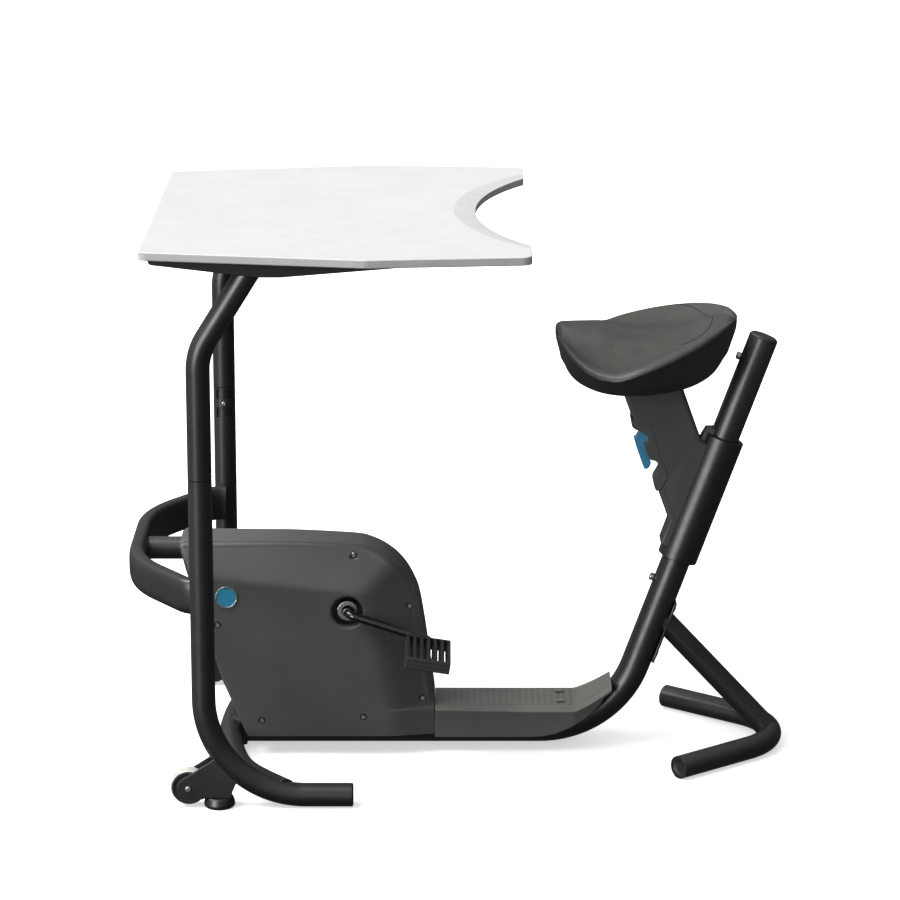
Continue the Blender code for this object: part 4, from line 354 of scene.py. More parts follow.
def worn_edges(tree, base, edge_hex, amount):
    """Lightens a colour where the surface turns sharply outwards."""
    shape = add(tree, "ShaderNodeNewGeometry")
    share = add(
        tree, "ShaderNodeMapRange",
        {"Value": shape.outputs["Pointiness"], "From Min": 0.52, "From Max": 0.60, "To Max": amount},
    )
    mix = tree.nodes.new("ShaderNodeMix")
    mix.data_type = "RGBA"
    tree.links.new(share.outputs["Result"], mix.inputs[0])
    tree.links.new(base, mix.inputs[6])
    mix.inputs[7].default_value = colour(edge_hex)
    return mix.outputs[2]


def bumped(tree, shader, height, depth_mm, normal=None):
    """Raises the surface by this pattern, so many millimetres high."""
    inputs = {"Height": height, "Strength": 1.0, "Distance": depth_mm / 1000.0}
    if normal:
        inputs["Normal"] = normal
    bump = add(tree, "ShaderNodeBump", inputs)
    tree.links.new(bump.outputs["Normal"], shader.inputs["Normal"])
    return bump.outputs["Normal"]


def noise(tree, place, size, detail=2.0, rough=0.5):
    """A plain noise of this size in millimetres."""
    inputs = {"Vector": place, "Scale": per_mm(size), "Detail": detail, "Roughness": rough}
    return add(tree, "ShaderNodeTexNoise", inputs).outputs["Fac"]


def plain_finish(name, colours, clouds, rough, drift, grain, depth, worn=None, **values):
    """Two close colours in clouds, a roughness that drifts, and a grain. Sizes are in millimetres."""
    made, tree, shader, place = start(name, **values)
    base = mottled(tree, place, *colours, clouds)
    if worn:
        base = worn_edges(tree, base, *worn)
    tree.links.new(base, shader.inputs["Base Color"])
    tree.links.new(varied(tree, place, *rough, drift), shader.inputs["Roughness"])
    bumped(tree, shader, noise(tree, place, *grain), depth)
    return made


def moulded_abs(name, first, second, rough, grain_mm, depth_mm, edge):
    """Moulded ABS with a spark-eroded grain: matt, with a soft broad highlight."""
    return plain_finish(
        name, (first, second), clouds=90.0, rough=(rough - 0.04, rough + 0.05), drift=40.0,
        grain=(grain_mm, 3.0, 0.6), depth=depth_mm, worn=(edge, 0.3), IOR=1.53,
    )


def pale_edge_finish(name, first, second):
    """White ABS edge banding, a little greyer than the board's face; also the darker grey painted as shade
    on the scoop's slope.
    """
    return plain_finish(
        name, (first, second), clouds=50.0, rough=(0.38, 0.48), drift=10.0, grain=(1.2, 2.0), depth=0.03,
        IOR=1.53,
    )


def moulded_rubber(name, rough):
    """Black natural rubber with a dusty bloom and a fine moulded grain."""
    return plain_finish(
        name, ("#161616", "#232322"), clouds=18.0, rough=rough, drift=8.0, grain=(0.8, 3.0), depth=0.06,
        worn=("#3A3A39", 0.4), IOR=1.52,
    )


def grained_leatherette():
    """Black PU leatherette: small raised cells 2 mm across with fine creases between them."""
    made, tree, shader, place = start("grained_leatherette", IOR=1.5)
    base = mottled(tree, place, "#373532", "#3F3D39", 45.0)
    tree.links.new(base, shader.inputs["Base Color"])
    tree.links.new(varied(tree, place, 0.38, 0.48, 20.0), shader.inputs["Roughness"])
    bent = add(tree, "ShaderNodeVectorMath", {0: place, 1: (0.0, 0.0, 0.0)}, operation="ADD")
    wobble = add(tree, "ShaderNodeTexNoise", {"Vector": place, "Scale": per_mm(6.0), "Detail": 2.0})
    shift = add(tree, "ShaderNodeVectorMath", {0: wobble.outputs["Color"]}, operation="SCALE")
    shift.inputs["Scale"].default_value = 0.0016
    tree.links.new(shift.outputs["Vector"], bent.inputs[1])
    cells = add(
        tree, "ShaderNodeTexVoronoi", {"Vector": bent.outputs["Vector"], "Scale": per_mm(2.2)},
        feature="DISTANCE_TO_EDGE",
    )
    crease = add(
        tree, "ShaderNodeMapRange", {"Value": cells.outputs["Distance"], "From Max": 0.22},
        interpolation_type="SMOOTHSTEP",
    )
    grain = bumped(tree, shader, crease.outputs["Result"], 0.09)
    bumped(tree, shader, noise(tree, place, 14.0, 3.0), 0.25, grain)
    return made


# Satin black powder coat: a faint orange peel about 2 mm across breaks up the sheen
PAINT = plain_finish(
    "powder_coated_steel", ("#252626", "#2A2B2B"), clouds=60.0, rough=(0.33, 0.39), drift=25.0,
    grain=(2.2, 2.0), depth=0.05, worn=("#555657", 0.35), IOR=1.5,
)
CHARCOAL = moulded_abs("charcoal_abs", "#525352", "#565756", 0.52, 0.9, 0.05, "#767776")
# Lighter grey of the step cover's top and ribs: painted light, the upward faces shown lighter than the
# charcoal sides
GREY_PAINTED_LIGHT = moulded_abs("grey_abs_painted_light", "#73756F", "#7A7C75", 0.50, 0.9, 0.05, "#969891")
BLACK = moulded_abs("black_nylon", "#161617", "#1D1D1E", 0.55, 0.8, 0.04, "#343435")
TRIM = moulded_abs("trim_abs", "#5A5C5C", "#606262", 0.5, 0.9, 0.05, "#8C8E8E")
CAP = moulded_abs("cap_polyethylene", "#1B1713", "#231D18", 0.5, 0.8, 0.04, "#5A4C3C")
# White melamine on board: almost even, with a fine pearl texture under a satin skin
LAMINATE = plain_finish(
    "laminated_board", ("#D0D1D1", "#CCCDCD"), clouds=140.0, rough=(0.36, 0.46), drift=15.0,
    grain=(1.4, 3.0), depth=0.03, IOR=1.5,
)
BANDING = pale_edge_finish("pale_edge_finish", "#DADBDB", "#D4D5D5")
# Darker grey on the scoop's sloped faces: painted shade for the slope turned away from the light
SCOOP_PAINTED_SHADE = pale_edge_finish("scoop_painted_shade", "#C3C4C4", "#BEBFBF")
LEATHER = grained_leatherette()
# Bright blue ABS with a polished skin and a slight drag of the mould
BLUE = plain_finish(
    "glossy_blue_abs", ("#5AC9FF", "#4FC2FD"), clouds=20.0, rough=(0.28, 0.38), drift=8.0,
    grain=(0.9, 2.0), depth=0.02, worn=("#8AD6FF", 0.5), IOR=1.53, Coat_Weight=0.25, Coat_Roughness=0.2,
)
# Blue enamel under a clear coat: even colour with the faint ripple of a poured surface
ENAMEL = plain_finish(
    "badge_enamel", ("#3AADD6", "#35A4CC"), clouds=12.0, rough=(0.25, 0.35), drift=6.0,
    grain=(5.0, 1.0), depth=0.03, IOR=1.5, Coat_Weight=0.8, Coat_Roughness=0.08,
)
# Bright zinc plate: cool grey metal with fine turning marks and a cloudy passivation
ZINC = plain_finish(
    "zinc_plated_steel", ("#C6C8CA", "#AEB1B4"), clouds=5.0, rough=(0.22, 0.38), drift=3.0,
    grain=(0.7, 2.0), depth=0.015, Metallic=1.0,
)
# Grey cast iron, turned and oiled: dark metal with open grain
IRON = plain_finish(
    "machined_iron", ("#4C4C4D", "#3C3B3A"), clouds=4.0, rough=(0.42, 0.62), drift=6.0,
    grain=(1.2, 4.0), depth=0.06, Metallic=1.0,
)
RUBBER = moulded_rubber("moulded_rubber", (0.62, 0.8))
FOOT_RUBBER = moulded_rubber("polished_rubber", (0.30, 0.42))
# Polyurethane tread painted pale grey as a highlight, the bright reflection along it: smooth and slightly
# waxy, scuffed in fine patches
TREAD_HIGHLIGHT = plain_finish(
    "polyurethane_tread_painted_highlight", ("#D2CFC8", "#C0BCB4"), clouds=9.0, rough=(0.30, 0.50), drift=5.0,
    grain=(1.6, 3.0), depth=0.05, IOR=1.5,
)
# Stoved black enamel on the crank: a wet gloss with a slight ripple
ENAMEL_BLACK = plain_finish(
    "gloss_black_enamel", ("#0D0D0E", "#121213"), clouds=30.0, rough=(0.18, 0.23), drift=12.0,
    grain=(6.0, 1.0), depth=0.03, IOR=1.5, Coat_Weight=0.2, Coat_Roughness=0.12,
)

# The finishes of each slot. The first of them is for a solid that shows as it is.
SLOTS = {
    "satin_black_paint": (PAINT, ENAMEL_BLACK),
    "charcoal_plastic": (CHARCOAL,),
    "grey_plastic": (GREY_PAINTED_LIGHT, TRIM),
    "black_plastic": (BLACK, CAP),
    "white_laminate": (LAMINATE, BANDING, SCOOP_PAINTED_SHADE),
    "black_leatherette": (LEATHER,),
    "blue_plastic": (BLUE,),
    "blue_enamel": (ENAMEL,),
    "bright_steel": (ZINC,),
    "cast_iron": (IRON,),
    "rubber": (RUBBER, FOOT_RUBBER, TREAD_HIGHLIGHT),
}


# Making pieces

def link(name, data):
    """A new object in the scene."""
    obj = bpy.data.objects.new(name, data)
    bpy.context.scene.collection.objects.link(obj)
    return obj


def close_edit(edit, name):
    """Ends a mesh edit, and links its result as an object."""
    mesh = bpy.data.meshes.new(name)
    edit.to_mesh(mesh)
    edit.free()
    return link(name, mesh)


def evaluated_mesh(obj):
    """The object's mesh with all its modifiers, in place."""
    bpy.context.view_layer.update()
    graph = bpy.context.evaluated_depsgraph_get()
    mesh = bpy.data.meshes.new_from_object(obj.evaluated_get(graph))
    mesh.transform(obj.matrix_world)
    return mesh


def settle(obj, sharp=32.0, weld=0.000002, helpers=(), flat=False):
    """The object's final shape as a plain mesh at the origin, smooth up to this angle."""
    mesh = evaluated_mesh(obj)
    edit = bmesh.new()
    edit.from_mesh(mesh)
    bmesh.ops.remove_doubles(edit, verts=edit.verts, dist=weld)
    if flat:
        bmesh.ops.dissolve_limit(edit, angle_limit=0.002, verts=edit.verts, edges=edit.edges)
    bmesh.ops.recalc_face_normals(edit, faces=edit.faces)
    edit.to_mesh(mesh)
    edit.free()
    mesh.materials.clear()
    name = obj.name
    for used in (obj, *helpers):
        bpy.data.objects.remove(used, do_unlink=True)
    mesh.shade_smooth()
    mesh.set_sharp_from_angle(angle=math.radians(sharp))
    return link(name, mesh)


def keep(obj, body, finish, *nodes, slot=None):
    """Gives a settled piece its finish and its body, and hides the nodes it stands for. The slot is not
    used.
    """
    soft = obj.modifiers.new("soft", "WEIGHTED_NORMAL")
    soft.keep_sharp = True
    mesh = evaluated_mesh(obj)
    obj.modifiers.clear()
    obj.data = mesh
    if not obj.data.materials:
        obj.data.materials.append(finish)
    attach(obj, body)
    if nodes:
        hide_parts(*nodes)
    return obj


def rounded_path(corners, radii, step=BEND_STEP):
    """Points of a line through the corners, each inner corner turned into an arc."""
    points = [Vector(corners[0])]
    for before, corner, after, radius in zip(corners, corners[1:], corners[2:], radii):
        corner = Vector(corner)
        back = (Vector(before) - corner).normalized()
        ahead = (Vector(after) - corner).normalized()
        turn = math.pi - back.angle(ahead)
        if radius <= 0.0 or turn < 1e-4:
            points.append(corner)
            continue
        first = corner + back * radius * math.tan(turn / 2)
        middle = corner + (back + ahead).normalized() * (radius / math.cos(turn / 2))
        axis = (first - middle).cross(-back).normalized()
        count = max(2, math.ceil(turn / step))
        for i in range(count + 1):
            points.append(middle + Matrix.Rotation(turn * i / count, 3, axis) @ (first - middle))
    points.append(Vector(corners[-1]))
    return points


def curve_line(points, count, closed=False):
    """A smooth line through the points, with this many steps between each pair."""
    points = [Vector(p) for p in points]
    total = len(points)
    made = []
    spans = total if closed else total - 1
    for i in range(spans):
        if closed:
            a, b, c, d = (points[(i + k) % total] for k in (-1, 0, 1, 2))
        else:
            b, c = points[i], points[i + 1]
            a = points[i - 1] if i else b + (b - c)
            d = points[i + 2] if i + 2 < total else c + (c - b)
        for k in range(count):
            t = k / count
            point = (
                2 * b + (c - a) * t + (2 * a - 5 * b + 4 * c - d) * t**2
                + (3 * b - a - 3 * c + d) * t**3
            ) * 0.5
            made.append(point)
    if not closed:
        made.append(points[-1])
    return made


def in_plane(points):
    """The points as pairs, without their third value."""
    return [(p.x, p.y) for p in points]


def smooth_outline(pairs, count, closed=False):
    """A smooth flat line through the pairs."""
    return in_plane(curve_line([(*pair, 0.0) for pair in pairs], count, closed))


def rounded_line(pairs, radii):
    """A flat line through the pairs, each inner corner turned into an arc."""
    return in_plane(rounded_path([(*pair, 0.0) for pair in pairs], radii, math.radians(6.0)))


def rod(radius, top, bottom):
    """The profile of a plain cylinder between two heights."""
    return [(0.0, top), (radius, top), (radius, bottom), (0.0, bottom)]


def pipe(outer, inner, top, bottom):
    """The profile of a plain tube between two heights."""
    return [(outer, top), (outer, bottom), (inner, bottom), (inner, top)]


def arc(middle, radius, first, last, count):
    """Points from one angle to another about a middle point, in one plane."""
    turns = [first + (last - first) * i / count for i in range(count + 1)]
    return [(middle[0] + radius * math.cos(t), middle[1] + radius * math.sin(t)) for t in turns]


def rounded_outline(corners, radius, count=6, keep_sharp=()):
    """A closed flat outline with each corner rounded, but for those named as sharp."""
    made = []
    total = len(corners)
    for i, corner in enumerate(corners):
        here = Vector((*corner, 0.0))
        back = Vector((*corners[i - 1], 0.0)) - here
        ahead = Vector((*corners[(i + 1) % total], 0.0)) - here
        turn = math.pi - back.angle(ahead)
        size = min(radius, 0.45 * min(back.length, ahead.length) / max(1e-6, math.tan(turn / 2)))
        if i in keep_sharp or turn < math.radians(3.0):
            made.append(corner)
            continue
        path = rounded_path([here + back, here, here + ahead], [size], turn / count)
        made += in_plane(path[1:-1])
    return made


def swept(name, points, radius, sides=ROUND_SIDES, radii=None, outline=None):
    """A round bar along a path, or one with the given flat outline."""
    curve = bpy.data.curves.new(name, "CURVE")
    curve.dimensions = "3D"
    curve.bevel_depth = radius
    curve.bevel_resolution = (sides - 4) // 2
    curve.use_fill_caps = True
    curve.twist_mode = "MINIMUM"
    spline = curve.splines.new("POLY")
    spline.points.add(len(points) - 1)
    for i, point in enumerate(points):
        spline.points[i].co = (*point, 1.0)
        spline.points[i].radius = radii[i] if radii else 1.0
    helper = None
    if outline:
        flat = bpy.data.curves.new(name + "_outline", "CURVE")
        flat.dimensions = "2D"
        edge = flat.splines.new("POLY")
        edge.points.add(len(outline) - 1)
        for i, (x, y) in enumerate(outline):
            edge.points[i].co = (x, y, 0.0, 1.0)
        edge.use_cyclic_u = True
        helper = link(name + "_outline", flat)
        curve.twist_mode = "Z_UP"
        curve.bevel_mode = "OBJECT"
        curve.bevel_object = helper
    obj = link(name, curve)
    return settle(obj, weld=0.00001, helpers=[helper] if helper else ())


def block(name, outline, thickness, top_down=False):
    """A flat outline made solid: in X and Z, thick along Y; or top_down, in X and Y."""
    curve = bpy.data.curves.new(name, "CURVE")
    curve.dimensions = "2D"
    curve.fill_mode = "BOTH"
    curve.extrude = thickness / 2
    spline = curve.splines.new("POLY")
    spline.points.add(len(outline) - 1)
    for i, (x, y) in enumerate(outline):
        spline.points[i].co = (x, y, 0.0, 1.0)
    spline.use_cyclic_u = True
    obj = link(name, curve)
    if not top_down:
        obj.rotation_euler = (math.pi / 2, 0.0, 0.0)
    return settle(obj, weld=0.00001, flat=True)


def turned(name, profile, place=(0.0, 0.0, 0.0), axis=(0.0, 0.0, 1.0), steps=ROUND_SIDES):
    """A profile of (radius, height) turned about an axis through a place."""
    mesh = bpy.data.meshes.new(name)
    edges = [(i, i + 1) for i in range(len(profile) - 1)]
    if profile[0][0] > 0.0:
        edges.append((len(profile) - 1, 0))
    mesh.from_pydata([(radius, 0.0, height) for radius, height in profile], edges, [])
    obj = link(name, mesh)
    screw = obj.modifiers.new("turn", "SCREW")
    screw.steps = steps
    screw.render_steps = steps
    screw.use_merge_vertices = True
    screw.merge_threshold = 0.00001
    obj.rotation_euler = Vector(axis).to_track_quat("Z", "Y").to_euler()
    obj.location = place
    return settle(obj, weld=0.00001)


def soft_profile(profile, radius, count=4):
    """A turned profile with its inner corners rounded."""
    closed = profile[0][0] > 0.0
    if closed:
        return rounded_outline(profile, radius, count)
    made = [profile[0]]
    for before, corner, after in zip(profile, profile[1:], profile[2:]):
        a, b, c = (Vector((*p, 0.0)) for p in (before, corner, after))
        turn = math.pi - (a - b).angle(c - b)
        if turn < math.radians(8.0):
            made.append(corner)
            continue
        size = min(radius, 0.45 * min((a - b).length, (c - b).length) / math.tan(turn / 2))
        path = rounded_path([a, b, c], [size], turn / count)
        made += in_plane(path[1:-1])
    made.append(profile[-1])
    return made


def brick(name, low, high):
    """A plain box between two corners."""
    edit = bmesh.new()
    bmesh.ops.create_cube(edit, size=1.0)
    size = [high[i] - low[i] for i in range(3)]
    middle = [(low[i] + high[i]) / 2 for i in range(3)]
    bmesh.ops.scale(edit, vec=size, verts=edit.verts)
    bmesh.ops.translate(edit, vec=middle, verts=edit.verts)
    return close_edit(edit, name)


def shape(obj, *cutters, join=(), round_to=0.0, segments=3, angle=30.0, sharp=32.0):
    """Joins, cuts and then rounds a working piece, and settles the result."""
    for other, operation in [(o, "UNION") for o in join] + [(c, "DIFFERENCE") for c in cutters]:
        step = obj.modifiers.new(operation.lower(), "BOOLEAN")
        step.operation = operation
        step.solver = "EXACT"
        step.object = other
    if round_to > 0.0:
        edge = obj.modifiers.new("edge", "BEVEL")
        edge.width = round_to
        edge.segments = segments
        edge.limit_method = "ANGLE"
        edge.angle_limit = math.radians(angle)
        edge.miter_outer = "MITER_ARC"
        edge.use_clamp_overlap = True
    return settle(obj, sharp, helpers=[*join, *cutters])


MAST_FOOT = Vector((MAST_FOOT_X, 0.0, BEAM_CENTRE))
MAST_ALONG = Vector((math.sin(MAST_LEAN), 0.0, math.cos(MAST_LEAN)))
MAST_FRONT = Vector((-MAST_ALONG.z, 0.0, MAST_ALONG.x))


def mast_point(height, off=0.0):
    """A point of the mast's axis at this height, moved off it towards the front."""
    return MAST_FOOT + MAST_ALONG * ((height - BEAM_CENTRE) / MAST_ALONG.z) + MAST_FRONT * off


def socket_bolt(name, place, axis, head, height, node):
    """A cap screw with a rounded head and a six-sided socket; place is its seat."""
    shank = head * 0.55
    profile = [(0.0, height), (head, height), (head, 0.0), (shank, 0.0), (shank, -0.004), (0.0, -0.004)]
    bolt = turned(name, soft_profile(profile, head * 0.22), place, axis, 32)
    middle = Vector(place) + Vector(axis).normalized() * height
    hole = turned("socket", rod(head * 0.52, 0.001, -height * 0.5), middle, axis, 6)
    keep(shape(bolt, hole), "frame", ZINC, node)


# Frame

def beam_path(start_x, top):
    """Middle line of the beam, from here to the mast at this height."""
    corners = [(start_x, 0.0, BEAM_CENTRE), (MAST_FOOT_X, 0.0, BEAM_CENTRE), mast_point(top)]
    return rounded_path(corners, [BEAM_BEND_RADIUS])


def end_cap(name, node, end, axis, radius, sizes, sides=ROUND_SIDES):
    """A domed plastic cap as wide as its tube, plugged into the tube's end."""
    rise, slope, edge, plug, softness = sizes
    profile = [
        (0.0, rise), (radius - slope, rise), (radius, edge), (radius, GAP), (plug, GAP),
        (plug, -0.012), (0.0, -0.012),
    ]
    keep(turned(name, soft_profile(profile, softness), end, axis, sides), "frame", BLACK, node)


def make_beam():
    """The low beam that bends up into the mast, its end cap, and the two travel stops."""
    tube = swept("beam_and_mast_tube", beam_path(BEAM_START_X, MAST_TOP), BEAM_RADIUS, 64)
    keep(tube, "frame", PAINT, "main_beam")
    end_cap("mast_end_cap", "mast_cap", mast_point(MAST_TOP), MAST_ALONG, BEAM_RADIUS, MAST_CAP, 64)
    for word, height in zip(("upper", "lower"), STOP_BOLT_HEIGHTS):
        place = mast_point(height, BEAM_RADIUS)
        socket_bolt(word + "_stop_screw", place, MAST_FRONT, *STOP_HEAD, word + "_stop_bolt")


def leg_path(sign):
    """Middle line of a leg, from the seam in the upright to the end on the floor."""
    y = sign * UPRIGHT_Y
    corners = [(UPRIGHT_X, y, SEAM_HEIGHT), (UPRIGHT_X, y, TUBE_RADIUS), (LEG_FOOT_END_X, y, TUBE_RADIUS)]
    return rounded_path(corners, [LEG_BEND_RADIUS])


def make_leg(side, sign):
    """A floor runner that bends up into the outer upright, with two small windows near its top."""
    leg = swept("floor_runner_" + side, leg_path(sign), TUBE_RADIUS)
    inner = sign * (UPRIGHT_Y - TUBE_RADIUS)
    cutters = []
    wide, deep, tall = WINDOW_SIZE
    for number in range(2):
        top = SEAM_HEIGHT - WINDOW_TOP_DROP - number * (tall + WINDOW_BAR)
        low_y, high_y = sorted((inner - sign * WINDOW_DEPTH_SPARE, inner + sign * deep))
        low = (UPRIGHT_X - wide / 2, low_y, top - tall)
        high = (UPRIGHT_X + wide / 2, high_y, top)
        cutters.append(brick("window", low, high))
    leg = shape(leg, *cutters, round_to=0.0006, segments=2, angle=50.0)
    keep(leg, "frame", PAINT, "front_leg_" + side)
    bolt_z = SEAM_HEIGHT - WINDOW_TOP_DROP - tall - WINDOW_BAR / 2
    place = (UPRIGHT_X, inner, bolt_z)
    node = "height_lock_bolt_" + side
    socket_bolt("height_screw_" + side, place, (0.0, -sign, 0.0), *HEIGHT_BOLT_HEAD, node)
    end = (LEG_FOOT_END_X, sign * UPRIGHT_Y, TUBE_RADIUS)
    end_cap("runner_cap_" + side, "leg_cap_" + side, end, (1.0, 0.0, 0.0), TUBE_RADIUS, LEG_CAP)


def make_cross_tube():
    """The bowed tube across the front, with the socket for the beam."""
    half = curve_line([(x, y, CROSS_CENTRE) for x, y in CROSS_PLAN], 5)
    path = [Vector((p.x, -p.y, p.z)) for p in reversed(half[1:])] + half
    cross = swept("bowed_cross_tube", path, TUBE_RADIUS)
    socket = shape(brick("socket", *SOCKET_BOX), round_to=0.004, segments=3)
    cross = shape(cross, join=[socket])
    keep(cross, "frame", PAINT, "front_cross_tube")


def loop_path():
    """The grab loop's middle line: straight in front, bent back on both sides to the uprights."""
    side_x, side_half = LOOP_SIDE
    slope = math.tan(LOOP_SPLAY)
    front_half = side_half - (side_x - LOOP_FRONT_X) / slope
    end_half = UPRIGHT_Y - TUBE_RADIUS - LOOP_THICK / 2 - GAP
    knee_x = side_x + (end_half - side_half) * slope
    half = [(LOOP_END_X, end_half), (knee_x, end_half), (LOOP_FRONT_X, front_half)]
    corners = [(x, -y, LOOP_HEIGHT) for x, y in half]
    corners += [(x, y, LOOP_HEIGHT) for x, y in reversed(half)]
    return rounded_path(corners, [LOOP_END_BEND, LOOP_BEND, LOOP_BEND, LOOP_END_BEND])


def make_loop():
    """The grab loop between the uprights, and the post that ties it to the beam."""
    outline = []
    for i in range(48):
        turn = 2 * math.pi * (i + 0.5) / 48
        cosine = math.cos(turn)
        sine = math.sin(turn)
        x = LOOP_THICK / 2 * math.copysign(abs(cosine) ** LOOP_SQUARENESS, cosine)
        y = LOOP_TALL / 2 * math.copysign(abs(sine) ** LOOP_SQUARENESS, sine)
        outline.append((x, y))
    loop = swept("grab_loop", loop_path(), 0.0, outline=outline)
    loop = shape(loop, round_to=0.002, segments=2, angle=60.0)
    keep(loop, "frame", PAINT, "front_loop")
    foot_x, head_x = HEAD_POST_X
    front = (LOOP_FRONT_X + LOOP_ARM_INSET, 0.0, LOOP_HEIGHT)
    arm = swept("loop_arm", [front, (head_x + TUBE_RADIUS, 0.0, LOOP_HEIGHT)], TUBE_RADIUS)
    post_line = [(foot_x, 0.0, BEAM_CENTRE), (head_x, 0.0, LOOP_HEIGHT)]
    post = swept("post", post_line, HEAD_POST_RADIUS, 40)
    keep(shape(arm, join=[post]), "frame", PAINT, "head_post")


def rear_splay():
    """Angle from X of the rear base's legs, found so that the bend ends at the apex."""
    reach = REAR_APEX_X - TUBE_RADIUS - REAR_END[0]
    low, high = math.radians(5.0), math.radians(80.0)
    for _ in range(60):
        splay = (low + high) / 2
        corner = reach + REAR_BEND_RADIUS * (1.0 / math.sin(splay) - 1.0)
        if corner * math.tan(splay) > REAR_END[1]:
            high = splay
        else:
            low = splay
    return splay


def make_rear_stand():
    """The V-shaped rear floor tube with its caps, and the strut bolted to the mast."""
    splay = rear_splay()
    reach = REAR_APEX_X - TUBE_RADIUS
    corner_x = reach + REAR_BEND_RADIUS * (1.0 / math.sin(splay) - 1.0)
    end_x, end_half = REAR_END
    corners = [
        (end_x, -end_half, TUBE_RADIUS), (corner_x, 0.0, TUBE_RADIUS), (end_x, end_half, TUBE_RADIUS),
    ]
    base = swept("rear_floor_tube", rounded_path(corners, [REAR_BEND_RADIUS]), TUBE_RADIUS)
    bores = []
    for side, sign in SIDES:
        outward = Vector((-math.cos(splay), sign * math.sin(splay), 0.0))
        end = Vector((end_x, sign * end_half, TUBE_RADIUS))
        bore = TUBE_RADIUS - TUBE_WALL
        bores.append(turned("bore_" + side, rod(bore, 0.002, -0.016), end, outward))
        top = -REAR_CAP_RECESS
        dish = [
            (0.0, top - 0.003), (0.012, top - 0.0026), (0.0185, top), (bore - GAP, top),
            (bore - GAP, -0.014), (0.0, -0.014),
        ]
        cap = turned("rear_tube_cap_" + side, soft_profile(dish, 0.001), end, outward)
        keep(cap, "frame", CAP, "rear_cap_" + side)
    base = shape(base, *bores, round_to=0.0007, segments=2, angle=50.0)
    keep(base, "frame", PAINT, "rear_base_tube")
    strut_line = [mast_point(STRUT_MAST_HEIGHT), (reach, 0.0, TUBE_RADIUS)]
    strut = swept("rear_strut_tube", strut_line, TUBE_RADIUS)
    thick, wide, tall = PLATE_SIZE
    plate = brick("plate", (-thick / 2, -wide / 2, -tall / 2), (thick / 2, wide / 2, tall / 2))
    plate.rotation_euler = (0.0, MAST_LEAN, 0.0)
    plate.location = mast_point(PLATE_CENTRE_HEIGHT, -BEAM_RADIUS - GAP)
    plate = shape(plate, round_to=0.002, segments=2)
    space = swept("mast_space", [mast_point(0.1), mast_point(0.5)], BEAM_RADIUS + GAP, 64)
    strut = shape(strut, space, join=[plate], round_to=0.0006, segments=1, angle=60.0)
    keep(strut, "frame", PAINT, "rear_strut")
    face = -(BEAM_RADIUS + GAP + thick / 2)
    rise = PLATE_BOLT_SPREAD / 2 * math.cos(MAST_LEAN)
    for word, height in (("upper", PLATE_CENTRE_HEIGHT + rise), ("lower", PLATE_CENTRE_HEIGHT - rise)):
        place = mast_point(height, face)
        socket_bolt(word + "_strut_screw", place, -MAST_FRONT, *PLATE_HEAD, "strut_bolt_" + word)


# Wheels and feet

def make_wheel(side, sign):
    """A black wheel body with a tread round it, painted pale as a highlight, on a plain axle screw."""
    place = (WHEEL_X, sign * (UPRIGHT_Y - WHEEL_INSET), WHEEL_CENTRE)
    half = WHEEL_WIDTH / 2
    edge = WHEEL_RADIUS - TREAD_THICKNESS
    dish_in, dish_out = DISH_RADII
    right = [
        (HUB_BORE, half), (HUB_RADIUS, half), (dish_in, half * 0.74), (dish_out, half * 0.80),
        (edge - 0.004, half * 0.94), (edge - 0.0015, half * 0.94), (edge, half * 0.86),
    ]
    left = [(radius, -y) for radius, y in reversed(right)]
    profile = right[-1:] + left + right[:-1]
    wheel = turned("transport_wheel_" + side, soft_profile(profile, 0.002), place, (0.0, 1.0, 0.0))
    keep(wheel, "wheel_" + side, RUBBER, "wheel_" + side)
    tread = [
        (WHEEL_RADIUS, half * 0.62), (WHEEL_RADIUS, -half * 0.62), (edge + 0.0008, -half * 0.84),
        (edge + GAP, -half * 0.84), (edge + GAP, half * 0.84), (edge + 0.0008, half * 0.84),
    ]
    # The tread's pale colour is a painted highlight
    tread = turned("wheel_tread_" + side, soft_profile(tread, 0.001), place, (0.0, 1.0, 0.0), 72)
    keep(tread, "wheel_" + side, TREAD_HIGHLIGHT)
    reach = half + CHEEK_GAP + GAP
    head, tall = AXLE_HEAD
    bolt = soft_profile([
        (0.0, reach + tall), (head - 0.0003, reach + tall), (head, reach), (AXLE_RADIUS, reach),
        (AXLE_RADIUS, -reach - 0.002), (0.0, -reach - 0.002),
    ], 0.0015)
    axle = turned("wheel_screw_" + side, bolt, place, (0.0, sign, 0.0), 32)
    keep(axle, "frame", ZINC, "wheel_axle_" + side)


